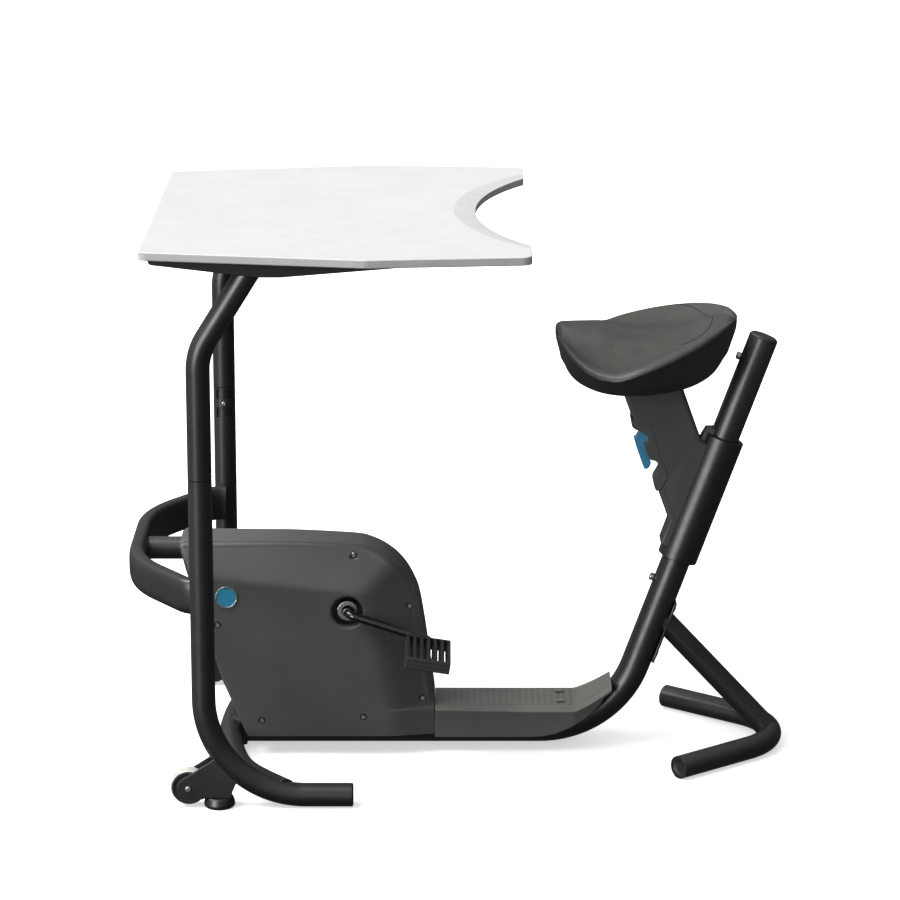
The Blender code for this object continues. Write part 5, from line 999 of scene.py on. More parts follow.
def make_bracket(side, sign):
    """Two cheek plates on a shelf, notched round the leg that they are welded to."""
    y = sign * (UPRIGHT_Y - WHEEL_INSET)
    first = math.pi / 2 + CHEEK_TOP_SLOPE
    lobe = arc((WHEEL_X, WHEEL_CENTRE), CHEEK_LOBE_RADIUS, first, math.radians(262.0), 30)
    run = UPRIGHT_X + CHEEK_REACH - lobe[0][0]
    rest = [
        (WHEEL_X + 0.026, SHELF_BOTTOM - 0.004), (WHEEL_X + 0.038, SHELF_BOTTOM),
        (SHELF_END_X, SHELF_BOTTOM), (SHELF_END_X + 0.002, SHELF_BOTTOM + 0.013),
        (SHELF_END_X + 0.0102, SHELF_BOTTOM + 0.0315), (SHELF_END_X + 0.024, SHELF_BOTTOM + 0.051),
        (lobe[0][0] + run, lobe[0][1] + run * math.tan(CHEEK_TOP_SLOPE)),
    ]
    outer = WHEEL_WIDTH / 2 + CHEEK_GAP
    bracket = block("wheel_fork_" + side, lobe + rest, 2 * outer)
    bracket.location = (0.0, y, 0.0)
    inside = outer - CHEEK_THICKNESS
    hollow = brick("hollow", (WHEEL_X - 0.06, y - inside, -0.01), (WHEEL_SPACE_END_X, y + inside, 0.2))
    low = (WHEEL_SPACE_END_X - 0.002, y - inside, SHELF_BOTTOM + SHELF_THICKNESS)
    over = brick("over", low, (SHELF_END_X + 0.1, y + inside, 0.2))
    bracket = shape(bracket, hollow, over, round_to=0.0011, segments=3, angle=50.0)
    leg = swept("leg_space", leg_path(sign), TUBE_RADIUS + GAP, 40)
    keep(shape(bracket, leg), "frame", PAINT, "wheel_bracket_" + side)


def make_level_foot(side, sign):
    """A levelling foot on its stud, with its lock nut."""
    top = SHELF_BOTTOM - GAP
    radius = LEVEL_FOOT_RADIUS
    nut_low, nut_high = NUT_HEIGHTS
    bell = [
        (0.0, STUD_TOP), (STUD_RADIUS, STUD_TOP), (STUD_RADIUS, nut_high), (NUT_RADIUS, nut_high),
        (NUT_RADIUS, nut_low), (STUD_RADIUS, nut_low), (STUD_RADIUS, top),
        (radius * 0.84, top), (radius * 0.90, top * 0.88), (radius * 0.96, top * 0.62),
        (radius, top * 0.36), (radius * 0.985, top * 0.16), (radius * 0.88, 0.0), (0.0, 0.0),
    ]
    foot = turned("screw_foot_" + side, soft_profile(bell, 0.003), (LEVEL_FOOT_X, sign * UPRIGHT_Y, 0.0))
    keep(foot, "level_foot_" + side, FOOT_RUBBER, "level_foot_" + side)


# Desk

def make_upright(side, sign):
    """The inner tube of an upright, with its spigot below and its bend under the desk."""
    y = sign * UPRIGHT_Y
    top = DESK_TOP - DESK_THICKNESS - UPRIGHT_TOP_DROP
    lean_x = UPRIGHT_X + (top - UPRIGHT_BEND_HEIGHT) * math.tan(UPRIGHT_LEAN)
    corners = [(UPRIGHT_X, y, SEAM_HEIGHT), (UPRIGHT_X, y, UPRIGHT_BEND_HEIGHT), (lean_x, y, top)]
    bend = rounded_path(corners, [UPRIGHT_BEND_RADIUS])[1:]
    thin = (TUBE_RADIUS - TUBE_WALL - SPIGOT_PLAY) / TUBE_RADIUS
    spigot = ((-SPIGOT_LENGTH, thin), (GAP, thin), *SPIGOT_SHOULDER)
    points = [Vector((UPRIGHT_X, y, SEAM_HEIGHT + rise)) for rise, _ in spigot] + bend
    radii = [share for _, share in spigot] + [1.0] * len(bend)
    upright = swept("desk_upright_" + side, points, TUBE_RADIUS, radii=radii)
    keep(upright, "desk_lift", PAINT, "upper_upright_" + side)


def make_desk_steel(side, sign):
    """The bracket under one side of the desktop."""
    under = DESK_TOP - DESK_THICKNESS - GAP
    front = DESK_FRONT[0] + BRACKET_FRONT_INSET
    outline = [
        (front, under), (front, under - 0.008), (front + 0.005, under - 0.013),
        (BRACKET_DEEP_X[0], under - BRACKET_DEPTH), (BRACKET_DEEP_X[1], under - BRACKET_DEPTH),
        (BRACKET_REAR_X, under - 0.006), (BRACKET_REAR_X, under),
    ]
    outline = rounded_outline(outline, 0.02, 6, keep_sharp=(0, 1, 5, 6))
    bracket = block("desk_channel_" + side, outline, BRACKET_WIDTH)
    bracket.location = (0.0, sign * UPRIGHT_Y, 0.0)
    bracket = shape(bracket, round_to=0.0015, segments=2, angle=40.0)
    keep(bracket, "desk_lift", PAINT, "desk_bracket_" + side)


def make_crossbar():
    """The bar between the two desk brackets."""
    half = UPRIGHT_Y - BRACKET_WIDTH / 2 - GAP
    top = DESK_TOP - DESK_THICKNESS - GAP
    front_x, rear_x = CROSSBAR_X
    bar = brick("desk_cross_channel", (front_x, -half, top - CROSSBAR_DEPTH), (rear_x, half, top))
    keep(shape(bar, round_to=0.002, segments=3), "desk_lift", PAINT, "desk_crossbar")


def desk_outline():
    """The desktop from above, before the rider's cut-out."""
    corner = DESK_CORNER_RADIUS
    pairs = [(DESK_FRONT[0], 0.0), DESK_FRONT, DESK_KINK, DESK_TIP, (DESK_TIP[0], 0.0)]
    half = rounded_line(pairs, [corner, DESK_KINK_RADIUS, corner])[1:-1]
    return half + [(x, -y) for x, y in reversed(half)]


def make_desktop():
    """The board, with its rider's cut-out, and the scooped edge round that."""
    board = block("desk_board", desk_outline(), DESK_THICKNESS, top_down=True)
    board.location = (0.0, 0.0, DESK_TOP - DESK_THICKNESS / 2)
    board = shape(board, round_to=0.0022, segments=3, angle=50.0)
    middle = (DESK_TIP[0] - CUTOUT_DEPTH + CUTOUT_RADIUS, 0.0, DESK_TOP)
    belly = turned("belly", rod(CUTOUT_RADIUS, 0.05, -0.05), middle, steps=512)
    scoop_x = DESK_TIP[0] - CUTOUT_DEPTH - SCOOP_WIDTH + SCOOP_RADIUS
    shrink = DESK_THICKNESS / math.tan(SCOOP_SLOPE)
    rise = 0.004
    profile = [
        (0.0, rise), (SCOOP_RADIUS + rise / math.tan(SCOOP_SLOPE), rise),
        (SCOOP_RADIUS - shrink, -DESK_THICKNESS), (0.0, -DESK_THICKNESS),
    ]
    scoop = turned("scoop", profile, (scoop_x, 0.0, DESK_TOP), steps=512)
    board = shape(board, belly, scoop, round_to=0.0008, segments=2, angle=60.0, sharp=9.0)
    board.data.materials.append(LAMINATE)
    board.data.materials.append(BANDING)
    board.data.materials.append(SCOOP_PAINTED_SHADE)
    # Edge faces take the banding; the scoop's sloped faces take the darker grey of painted shade
    for face in board.data.polygons:
        sloped = math.cos(SCOOP_SLOPE * 1.5) < face.normal.z < math.cos(SCOOP_SLOPE * 0.5)
        face.material_index = 1 if abs(face.normal.z) < 0.6 else 2 if sloped else 0
    keep(board, "desk_lift", LAMINATE, "desktop")


# Housing

def housing_outline():
    """Side view of the housing, its rear and top run as one smooth line."""
    nose = rounded_line([(-0.603, 0.430), (-0.620, HOUSING_TOP), (-0.380, HOUSING_TOP)], [0.012])
    front = [(-0.467, HOUSING_BOTTOM), (-0.525, 0.174), (-0.603, 0.430)] + nose[1:-1]
    rear = smooth_outline([
        (-0.450, HOUSING_TOP), (-0.380, 0.4857), (-0.325, 0.4838), (-0.272, 0.481), (-0.218, 0.477),
        (-0.191, 0.470), (-0.164, 0.4575), (-0.137, 0.438), (-0.114, 0.412), (-0.096, 0.380),
        (-0.084, 0.347), (-0.073, 0.285), (-0.0635, 0.218), (-0.054, 0.150),
    ], 5)
    return front + rear + [(-0.051, 0.128), (HOUSING_REAR_X, 0.117), (HOUSING_REAR_X, HOUSING_BOTTOM)]


def soft_min(a, b, reach):
    """The lower of two values, with a rounded change from one to the other."""
    share = max(reach - abs(a - b), 0.0) / reach
    return min(a, b) - share * share * reach / 4


def housing_side(x, z):
    """Half width of the housing at a point of its side: flat below, planed above and behind."""
    half = HOUSING_HALF_SIDE
    above = z - (HOUSING_CREASE[1] - HOUSING_CREASE_FALL * (x - HOUSING_CREASE[0]))
    shoulder = half - above * (half - HOUSING_HALF_TOP) / (HOUSING_TOP - HOUSING_CREASE[1])
    behind = x - HOUSING_TAPER_X + HOUSING_TAPER_LEAN * (z - HOUSING_LEDGE)
    flank = half - behind * (half - HOUSING_REAR_HALF) / (HOUSING_REAR_X - HOUSING_TAPER_X)
    upper = soft_min(soft_min(half, shoulder, 0.0014), flank, 0.010)
    base = half - (x - HOUSING_TAPER_X) * (half - STEP_HALF_SIDE) / (HOUSING_REAR_X - HOUSING_TAPER_X)
    base = soft_min(half, base, 0.004)
    share = min(1.0, max(0.0, (z - HOUSING_LEDGE + 0.003) / 0.003))
    return base + (min(base, upper) - base) * share if z < 0.2 else upper


def edge_radius(x, z):
    """How far the side panel's edge is rounded over: wide behind, narrow elsewhere."""
    if z < HOUSING_LEDGE + LEDGE_BLEND:
        return PANEL_EDGE_LOW
    share = min(1.0, max(0.0, (x + 0.215) / 0.09))
    return PANEL_EDGE + PANEL_EDGE_GROWTH * share * share * (3 - 2 * share)


def make_housing_panel(side, sign):
    """One side panel: rings that round its edge over, then its face, all one closed skin."""
    outline = [Vector(p) for p in housing_outline()]
    count = len(outline)
    inward = []
    for i in range(count):
        run = (outline[(i + 1) % count] - outline[i - 1]).normalized()
        inward.append(Vector((-run.y, run.x)))
    middle = Vector((-0.3, 0.25))
    if (middle - outline[10]).dot(inward[10]) < 0.0:
        inward = [-n for n in inward]
    outline = [
        p + n * (PANEL_DROP if p.y > HOUSING_LEDGE + LEDGE_BLEND else 0.0) for p, n in zip(outline, inward)
    ]
    edit = bmesh.new()
    rings = [[edit.verts.new((p.x, BAND_HALF + BAND_GROOVE, p.y)) for p in outline]]
    steps = 6
    for k in range(steps + 1):
        turn = math.pi / 2 * k / steps
        ring = []
        for p, n in zip(outline, inward):
            radius = edge_radius(p.x, p.y)
            inner = p + n * radius * (1 - math.cos(turn))
            deep = housing_side(*(p + n * radius)) - radius * (1 - math.sin(turn))
            out = max(deep, BAND_HALF + BAND_GROOVE + 0.0005 * (k + 1))
            ring.append(edit.verts.new((inner.x, out, inner.y)))
        rings.append(ring)
    for low, high in zip(rings, rings[1:]):
        for i in range(count):
            j = (i + 1) % count
            edit.faces.new((low[i], low[j], high[j], high[i]))
    edit.faces.new(list(reversed(rings[0])))
    face = edit.faces.new(rings[-1])
    for vertex in rings[-1]:
        vertex.co.y = 0.0
    edit.faces.ensure_lookup_table()
    cuts = [((x / 1000.0, 0.0, 0.0), (1.0, 0.0, 0.0)) for x in range(-612, -50, PANEL_GRID_MM)]
    levels = [z / 1000.0 for z in range(50, 480, PANEL_GRID_MM)] + [0.1042, 0.1068]
    cuts += [((0.0, 0.0, z), (0.0, 0.0, 1.0)) for z in levels]
    inner_faces = {face}
    for place, normal in cuts:
        parts = list(inner_faces)
        geometry = set(parts)
        for part in parts:
            geometry.update(part.edges)
            geometry.update(part.verts)
        border = {f for f in edit.faces if f not in inner_faces}
        bmesh.ops.bisect_plane(edit, geom=list(geometry), plane_co=place, plane_no=normal, dist=1e-6)
        inner_faces = {f for f in edit.faces if f not in border}
    for vertex in {v for f in inner_faces for v in f.verts}:
        vertex.co.y = housing_side(vertex.co.x, vertex.co.z)
    for vertex in edit.verts:
        vertex.co.y *= sign
    panel = close_edit(edit, "side_panel_" + side)
    hole = turned("crank_hole", crank_hole_profile(), (CRANK_X, 0.0, CRANK_CENTRE), (0.0, sign, 0.0), 96)
    wells = [screw_well(x, z, sign, housing_side(x, z)) for x, z in HOUSING_SCREWS]
    panel = shape(panel, hole, *wells, sharp=28.0)
    keep(panel, "frame", CHARCOAL, "housing_" + side)


WELL = [(0.0, 0.004), (0.0130, 0.004), (0.0086, 0.0), (0.0074, -0.0022), (0.0072, -0.006), (0.0, -0.006)]


def crank_hole_profile():
    """The crank's opening, with a dished rim."""
    wide = CRANK_HOLE_RADIUS + CRANK_HOLE_RIM
    rim = arc((wide, HOUSING_HALF_SIDE - CRANK_HOLE_RIM), CRANK_HOLE_RIM, math.pi, math.pi / 2, 6)
    return [(0.0, 0.12), (wide, 0.12)] + list(reversed(rim)) + [(CRANK_HOLE_RADIUS, 0.052), (0.0, 0.052)]


def screw_well(x, z, sign, face):
    """The cutter for a screw's well: a cone that narrows to a flat floor."""
    return turned("well", WELL, (x, sign * face, z), (0.0, sign, 0.0), 32)


def make_housing_band():
    """The spine between the two side panels."""
    band = block("housing_spine", housing_outline(), 2 * BAND_HALF)
    band = shape(band, round_to=0.0025, segments=3, angle=60.0)
    arm = swept("arm_space", [(-0.72, 0.0, LOOP_HEIGHT), (-0.53, 0.0, LOOP_HEIGHT)], TUBE_RADIUS + 2 * GAP)
    beam = swept("beam_space", [(-0.52, 0.0, BEAM_CENTRE), (0.1, 0.0, BEAM_CENTRE)], BEAM_RADIUS + GAP)
    socket = brick("socket_space", (-0.5, -0.0383, 0.0), (-0.4713, 0.0383, 0.0743))
    crank = (CRANK_X, 0.0, CRANK_CENTRE)
    window = turned("window", rod(CRANK_HOLE_RADIUS, 0.2, -0.2), crank, (0.0, 1.0, 0.0))
    band = shape(band, arm, beam, socket, window)
    keep(band, "frame", CHARCOAL)


def make_badge():
    """The round blue disc and its ring on the housing."""
    x, y, z = BADGE_PLACE
    disc = soft_profile(rod(BADGE_RADIUS - 0.003, BADGE_DISC_HEIGHT, 0.0), 0.0004)
    badge = turned("badge_disc", disc, (x, y, z), (0.0, -1.0, 0.0), 72)
    keep(badge, "frame", ENAMEL, "badge")
    ring = soft_profile(pipe(BADGE_RADIUS, BADGE_RADIUS - BADGE_RING_WIDTH, BADGE_RING_HEIGHT, 0.0), 0.0007)
    keep(turned("badge_ring", ring, (x, y, z), (0.0, -1.0, 0.0), 72), "frame", ZINC)


def ramp_share(x):
    """How far up the ramp a place along the step cover is, from 0 to 1."""
    start_x, end_x = STEP_RAMP_X
    return min(1.0, max(0.0, (x - start_x) / (end_x - start_x)))


def step_profile(x):
    """Height of the step cover's top along the bike: level, then a ramp up the mast."""
    return STEP_TOP + STEP_RAMP_RISE * ramp_share(x) ** 1.25


STEP_UNDER = [
    (0.160, STEP_BOTTOM), (0.189, 0.0375), (0.219, 0.0435), (0.2415, 0.0530), (0.2638, 0.0645),
    (0.2860, 0.0785), (0.3015, 0.0915), (0.3170, 0.1065), (0.3302, 0.1250), (0.3390, 0.1440),
    (0.3435, 0.1500),
]


def under_height(x):
    """Height of the step cover's lower edge, which follows the bend of the mast."""
    if x <= STEP_UNDER[0][0]:
        return STEP_BOTTOM
    for (x_low, z_low), (x_high, z_high) in zip(STEP_UNDER, STEP_UNDER[1:]):
        if x <= x_high:
            return z_low + (z_high - z_low) * (x - x_low) / (x_high - x_low)
    return STEP_UNDER[-1][1] + (x - STEP_UNDER[-1][0]) * 1.3


def step_section(x):
    """The step cover across the bike: flat top, rounded shoulders, upright sides."""
    share = ramp_share(x)
    top = step_profile(x)
    half_top = STEP_HALF_TOP - STEP_TOP_TAPER * share
    half_side = STEP_HALF_SIDE - STEP_SIDE_TAPER * share
    along = min(1.0, max(0.0, (x - HOUSING_REAR_X) / STEP_BEVEL_RUN))
    drop = STEP_BEVEL_START + (STEP_BEVEL_DROP - STEP_BEVEL_START) * along
    low = min(under_height(x), top - drop - 0.004)
    corners = [(half_side, low), (half_side, top - drop), (half_top, top), (0.0, top)]
    half = rounded_line(corners, [0.006, 0.007])
    return half + [(-y, z) for y, z in reversed(half[:-1])]


def make_step_cover():
    """The cover over the beam, lofted from its sections. Its top is painted a lighter grey than its sides:
    painted light on the upward faces.
    """
    start_x = HOUSING_REAR_X + GAP
    end_x = STEP_RAMP_X[1]
    xs = [start_x + (end_x - start_x) * i / STEP_SECTIONS for i in range(STEP_SECTIONS + 1)]
    sections = [step_section(x) for x in xs]
    size = min(len(section) for section in sections)
    edit = bmesh.new()
    rings = [[edit.verts.new((x, y, z)) for y, z in section[:size]] for x, section in zip(xs, sections)]
    for near, far in zip(rings, rings[1:]):
        for i in range(size):
            j = (i + 1) % size
            edit.faces.new((near[i], near[j], far[j], far[i]))
    edit.faces.new(rings[0])
    edit.faces.new(list(reversed(rings[-1])))
    cover = close_edit(edit, "step_over_beam")
    beam = swept("beam_space", beam_path(-0.2, 0.5), BEAM_RADIUS + GAP, 64)
    narrow = [(radius * 0.8, height) for radius, height in WELL]
    wells = [turned("well", narrow, (x, y, STEP_TOP), steps=28) for x, y in STEP_SCREWS]
    cover = shape(cover, beam, *wells)
    cover.data.materials.append(GREY_PAINTED_LIGHT)
    cover.data.materials.append(CHARCOAL)
    # Painted light: faces that look up take the lighter grey, the sides take charcoal
    for face in cover.data.polygons:
        face.material_index = 1 if face.normal.z < 0.35 else 0
    keep(cover, "frame", GREY_PAINTED_LIGHT, "step_cover")


# What repeats, made by geometry nodes

def node_tree(name, sizes):
    """A geometry node tree with named inputs and one geometry output."""
    tree = bpy.data.node_groups.new(name, "GeometryNodeTree")
    tree.interface.new_socket("Geometry", in_out="INPUT", socket_type="NodeSocketGeometry")
    for label, kind, value in sizes:
        socket = tree.interface.new_socket(label, in_out="INPUT", socket_type=kind)
        if value is not None:
            socket.default_value = value
    tree.interface.new_socket("Geometry", in_out="OUTPUT", socket_type="NodeSocketGeometry")
    return tree, add(tree, "NodeGroupInput"), add(tree, "NodeGroupOutput")


def run_tree(name, tree, values, points=None, normals=None):
    """Runs a tree on loose points, and returns the result as a plain mesh piece."""
    mesh = bpy.data.meshes.new(name)
    mesh.from_pydata(points or [(0.0, 0.0, 0.0)], [], [])
    if normals:
        facing = mesh.attributes.new("facing", "FLOAT_VECTOR", "POINT")
        for i, normal in enumerate(normals):
            facing.data[i].vector = normal
    obj = link(name, mesh)
    step = obj.modifiers.new("repeat", "NODES")
    step.node_group = tree
    for item in tree.interface.items_tree:
        if item.item_type == "SOCKET" and item.in_out == "INPUT" and item.name in values:
            step[item.identifier] = values[item.name]
    made = evaluated_mesh(obj)
    bpy.data.objects.remove(obj, do_unlink=True)
    piece = link(name, made)
    made.shade_smooth()
    made.set_sharp_from_angle(angle=math.radians(32.0))
    return piece


def end_tree(tree, given, result, inputs):
    """Puts a piece on each point, makes the copies real, and gives them their finish."""
    copies = add(tree, "GeometryNodeInstanceOnPoints", inputs)
    real = add(tree, "GeometryNodeRealizeInstances", {"Geometry": copies.outputs["Instances"]})
    dressed = {"Geometry": real.outputs["Geometry"], "Material": given.outputs["Finish"]}
    painted = add(tree, "GeometryNodeSetMaterial", dressed)
    tree.links.new(painted.outputs["Geometry"], result.inputs["Geometry"])


def rib_tree():
    """A row of low ribs across the step: count, pitch and size."""
    sizes = [
        ("Ribs", "NodeSocketInt", 20), ("Pitch", "NodeSocketFloat", 0.01),
        ("Start", "NodeSocketVector", None), ("Size", "NodeSocketVector", None),
        ("Finish", "NodeSocketMaterial", None),
    ]
    tree, given, result = node_tree("step_ribs", sizes)
    offset = add(tree, "ShaderNodeCombineXYZ", {"X": given.outputs["Pitch"]})
    line = add(tree, "GeometryNodeMeshLine", {
        "Count": given.outputs["Ribs"], "Start Location": given.outputs["Start"],
        "Offset": offset.outputs[0],
    })
    bar = add(tree, "GeometryNodeMeshCube", {"Size": given.outputs["Size"]})
    end_tree(tree, given, result, {"Points": line.outputs["Mesh"], "Instance": bar.outputs["Mesh"]})
    return tree


def screw_tree():
    """Pan-head cover screws, one on each point, turned to face along the point's direction."""
    sizes = [
        ("Head Radius", "NodeSocketFloat", 0.004), ("Head Height", "NodeSocketFloat", 0.002),
        ("Slot Width", "NodeSocketFloat", 0.001), ("Finish", "NodeSocketMaterial", None),
    ]
    tree, given, result = node_tree("cover_screws", sizes)
    radius = given.outputs["Head Radius"]
    height = given.outputs["Head Height"]
    slot = given.outputs["Slot Width"]
    head = add(tree, "GeometryNodeMeshCone", {"Vertices": 24, "Radius Bottom": radius, "Depth": height})
    top = add(tree, "ShaderNodeMath", {0: radius, 1: 0.72}, operation="MULTIPLY")
    tree.links.new(top.outputs[0], head.inputs["Radius Top"])
    wide = add(tree, "ShaderNodeMath", {0: radius, 1: 1.1}, operation="MULTIPLY").outputs[0]
    bars = []
    for first, second in ((wide, slot), (slot, wide)):
        size = add(tree, "ShaderNodeCombineXYZ", {"X": first, "Y": second, "Z": height})
        bar = add(tree, "GeometryNodeMeshCube", {"Size": size.outputs[0]})
        lift = add(tree, "ShaderNodeCombineXYZ", {"Z": height})
        inputs = {"Geometry": bar.outputs["Mesh"], "Translation": lift.outputs[0]}
        moved = add(tree, "GeometryNodeTransform", inputs)
        bars.append(moved.outputs["Geometry"])
    slotted = add(
        tree, "GeometryNodeMeshBoolean", {"Mesh 1": head.outputs["Mesh"]},
        operation="DIFFERENCE", solver="EXACT",
    )
    for bar in bars:
        tree.links.new(bar, slotted.inputs["Mesh 2"])
    facing = add(tree, "GeometryNodeInputNamedAttribute", {"Name": "facing"}, data_type="FLOAT_VECTOR")
    turn = add(tree, "FunctionNodeAlignRotationToVector", {"Vector": facing.outputs["Attribute"]}, axis="Z")
    end_tree(tree, given, result, {
        "Points": given.outputs["Geometry"], "Instance": slotted.outputs["Mesh"],
        "Rotation": turn.outputs["Rotation"],
    })
    return tree


def make_repeats():
    """The ribs across the step and the screws of both covers."""
    wide, tall = STEP_RIB_SIZE
    # The ribs take the same lighter grey, painted light on the step's top
    ribs = run_tree("step_ribs", rib_tree(), {
        "Ribs": STEP_RIBS, "Pitch": STEP_RIB_PITCH, "Start": (STEP_RIB_START_X, 0.0, STEP_TOP + 0.0003),
        "Size": (wide, 2 * STEP_HALF_TOP - 0.014, tall), "Finish": GREY_PAINTED_LIGHT,
    })
    keep(ribs, "frame", GREY_PAINTED_LIGHT)
    places = []
    normals = []
    for sign in (-1.0, 1.0):
        for x, z in HOUSING_SCREWS:
            places.append((x, sign * (housing_side(x, z) - 0.0028), z))
            normals.append((0.0, sign, 0.0))
    for x, y in STEP_SCREWS:
        places.append((x, y, STEP_TOP - 0.0032))
        normals.append((0.0, 0.0, 1.0))
    screws = run_tree("cover_screws", screw_tree(), {
        "Head Radius": SCREW_HEAD_RADIUS, "Head Height": SCREW_HEAD_HEIGHT, "Slot Width": SCREW_SLOT,
        "Finish": ZINC,
    }, places, normals)
    keep(screws, "frame", ZINC)


# Drive

def pedal_centre(sign):
    """X and Z of one pedal's axle."""
    turn = CRANK_ANGLE if sign < 0.0 else CRANK_ANGLE + math.pi
    return CRANK_X + CRANK_LENGTH * math.cos(turn), CRANK_CENTRE + CRANK_LENGTH * math.sin(turn)


def make_crank():
    """The black bar of both crank arms, and the two bearing cups."""
    left_x, left_z = pedal_centre(-1.0)
    right_x, right_z = pedal_centre(1.0)
    corners = [
        (left_x, -CRANK_END_Y, left_z), (left_x, -CRANK_KNEE_Y, left_z),
        (CRANK_X, -CRANK_AXLE_HALF, CRANK_CENTRE), (CRANK_X, CRANK_AXLE_HALF, CRANK_CENTRE),
        (right_x, CRANK_KNEE_Y, right_z), (right_x, CRANK_END_Y, right_z),
    ]
    bends = [CRANK_END_BEND, CRANK_ROOT_BEND, CRANK_ROOT_BEND, CRANK_END_BEND]
    bar = swept("crank_bar", rounded_path(corners, bends, math.radians(5.0)), CRANK_ROD_RADIUS, 40)
    keep(bar, "crank", ENAMEL_BLACK, "crank")
    flange, flange_top = CUP_FLANGE
    radius, depth = CUP_BODY
    profile = soft_profile([
        (flange, flange_top), (flange, GAP), (radius, GAP), (radius, -depth), (CUP_BORE, -depth),
        (CUP_BORE, 0.001), (CUP_BORE + 0.0028, flange_top),
    ], 0.0012)
    for side, y, axis in CUPS:
        cup = turned("bearing_ring_" + side, profile, (CRANK_X, y, CRANK_CENTRE), (0.0, axis, 0.0))
        keep(cup, "frame", ZINC, "bearing_cup_" + side)


def make_pedal(side, sign):
    """A platform pedal with grooves, slots and edge lines, and its axle."""
    place_x, place_z = pedal_centre(sign)
    length, width, thick = PEDAL_SIZE
    body = brick("tread_" + side, (-length / 2, 0.0, -thick / 2), (length / 2, width, thick / 2))
    body = shape(body, round_to=0.0016, segments=3)
    cutters = []
    pitch = (length - 2 * PEDAL_RIM) / PEDAL_SLOTS
    for i in range(PEDAL_SLOTS):
        x = (i - (PEDAL_SLOTS - 1) / 2) * pitch
        for face in (-1.0, 1.0):
            bottom, top = sorted((face * GROOVE_FLOOR, face * (thick / 2 + 0.002)))
            low = (x - GROOVE_HALF, GROOVE_MARGIN, bottom)
            high = (x + GROOVE_HALF, width - GROOVE_MARGIN, top)
            cutters.append(brick("groove", low, high))
        low = (x - SLOT_HALF, SLOT_MARGIN, -0.01)
        high = (x + SLOT_HALF, width - SLOT_MARGIN, 0.01)
        cutters.append(brick("slot", low, high))
    for level in EDGE_LINE_LEVELS:
        for y in (-0.001, width - 0.0008):
            low = (-length / 2 + EDGE_LINE_MARGIN, y, level - EDGE_LINE_HALF)
            high = (length / 2 - EDGE_LINE_MARGIN, y + EDGE_LINE_DEPTH, level + EDGE_LINE_HALF)
            cutters.append(brick("line", low, high))
    pedal = shape(body, *cutters, round_to=0.0005, segments=1, angle=60.0)
    low = PEDAL_START_Y if sign > 0.0 else -PEDAL_START_Y - width
    pedal.rotation_euler = (0.0, PEDAL_TILT, 0.0)
    pedal.location = (place_x, low, place_z)
    keep(settle(pedal), "pedal_" + side, BLACK, "pedal_" + side)
    spindle = soft_profile([
        (0.0, 0.004), (SPINDLE_RADIUS, 0.004), (SPINDLE_RADIUS, -0.001), (CRANK_ROD_RADIUS, -0.001),
        (CRANK_ROD_RADIUS, -0.0077), (0.0, -0.0077),
    ], 0.001)
    place = (place_x, sign * PEDAL_START_Y, place_z)
    axle = turned("pedal_axle_" + side, spindle, place, (0.0, sign, 0.0), 32)
    keep(axle, "crank", ZINC, "pedal_spindle_" + side)


# Seat carriage

TRIM_FRONT = [
    (0.3821, 0.7597), (0.3823, 0.7506), (0.3868, 0.7370), (0.4046, 0.7279), (0.4187, 0.7185),
    (0.4199, 0.7082), (0.4135, 0.6945), (0.4264, 0.6653), (0.4364, 0.6618), (0.4431, 0.6550),
    (0.4465, 0.6458), (0.4434, 0.6367), (0.4369, 0.6253), (0.4337, 0.6184), (0.4338, 0.6092),
    (0.4373, 0.5978), (0.4418, 0.5921),
]
TRIM_BACK = [
    (0.4506, 0.5978), (0.4635, 0.6184), (0.4656, 0.6276), (0.4609, 0.6458), (0.4518, 0.6641),
    (0.4449, 0.6824), (0.4356, 0.7165), (0.4287, 0.7324), (0.4198, 0.7426), (0.4021, 0.7460),
]
TRIM_SLOT = [
    (0.3950, 0.7330), (0.4340, 0.7220), (0.4375, 0.7000), (0.4440, 0.6680), (0.4440, 0.6420),
    (0.4000, 0.6300),
]
LEVER_OUTLINE = [
    (0.4032, 0.7242), (0.4187, 0.7185), (0.4300, 0.7180), (0.4325, 0.7120), (0.4290, 0.7050),
    (0.4190, 0.7040), (0.4135, 0.6945), (0.4273, 0.6603), (0.4274, 0.6489), (0.4220, 0.6408),
    (0.4165, 0.6397), (0.4109, 0.6466), (0.3913, 0.7037), (0.3945, 0.7128),
]


def make_sleeve():
    """The round sleeve on the mast, and the liner in it."""
    half = SLEEVE_LENGTH / 2
    place = mast_point(SLEEVE_CENTRE_HEIGHT)
    bore = SLEEVE_RADIUS - SLEEVE_WALL
    ring = soft_profile(pipe(SLEEVE_RADIUS, bore, half, -half), 0.0032, 5)
    keep(turned("carriage_sleeve", ring, place, MAST_ALONG, 80), "seat_carriage", PAINT, "seat_sleeve")
    reach = half - LINER_INSET
    liner = soft_profile(pipe(bore - GAP, BEAM_RADIUS + LINER_PLAY, reach, -reach), 0.0012, 3)
    keep(turned("sleeve_bush", liner, place, MAST_ALONG, 80), "seat_carriage", BLACK, "sleeve_liner")


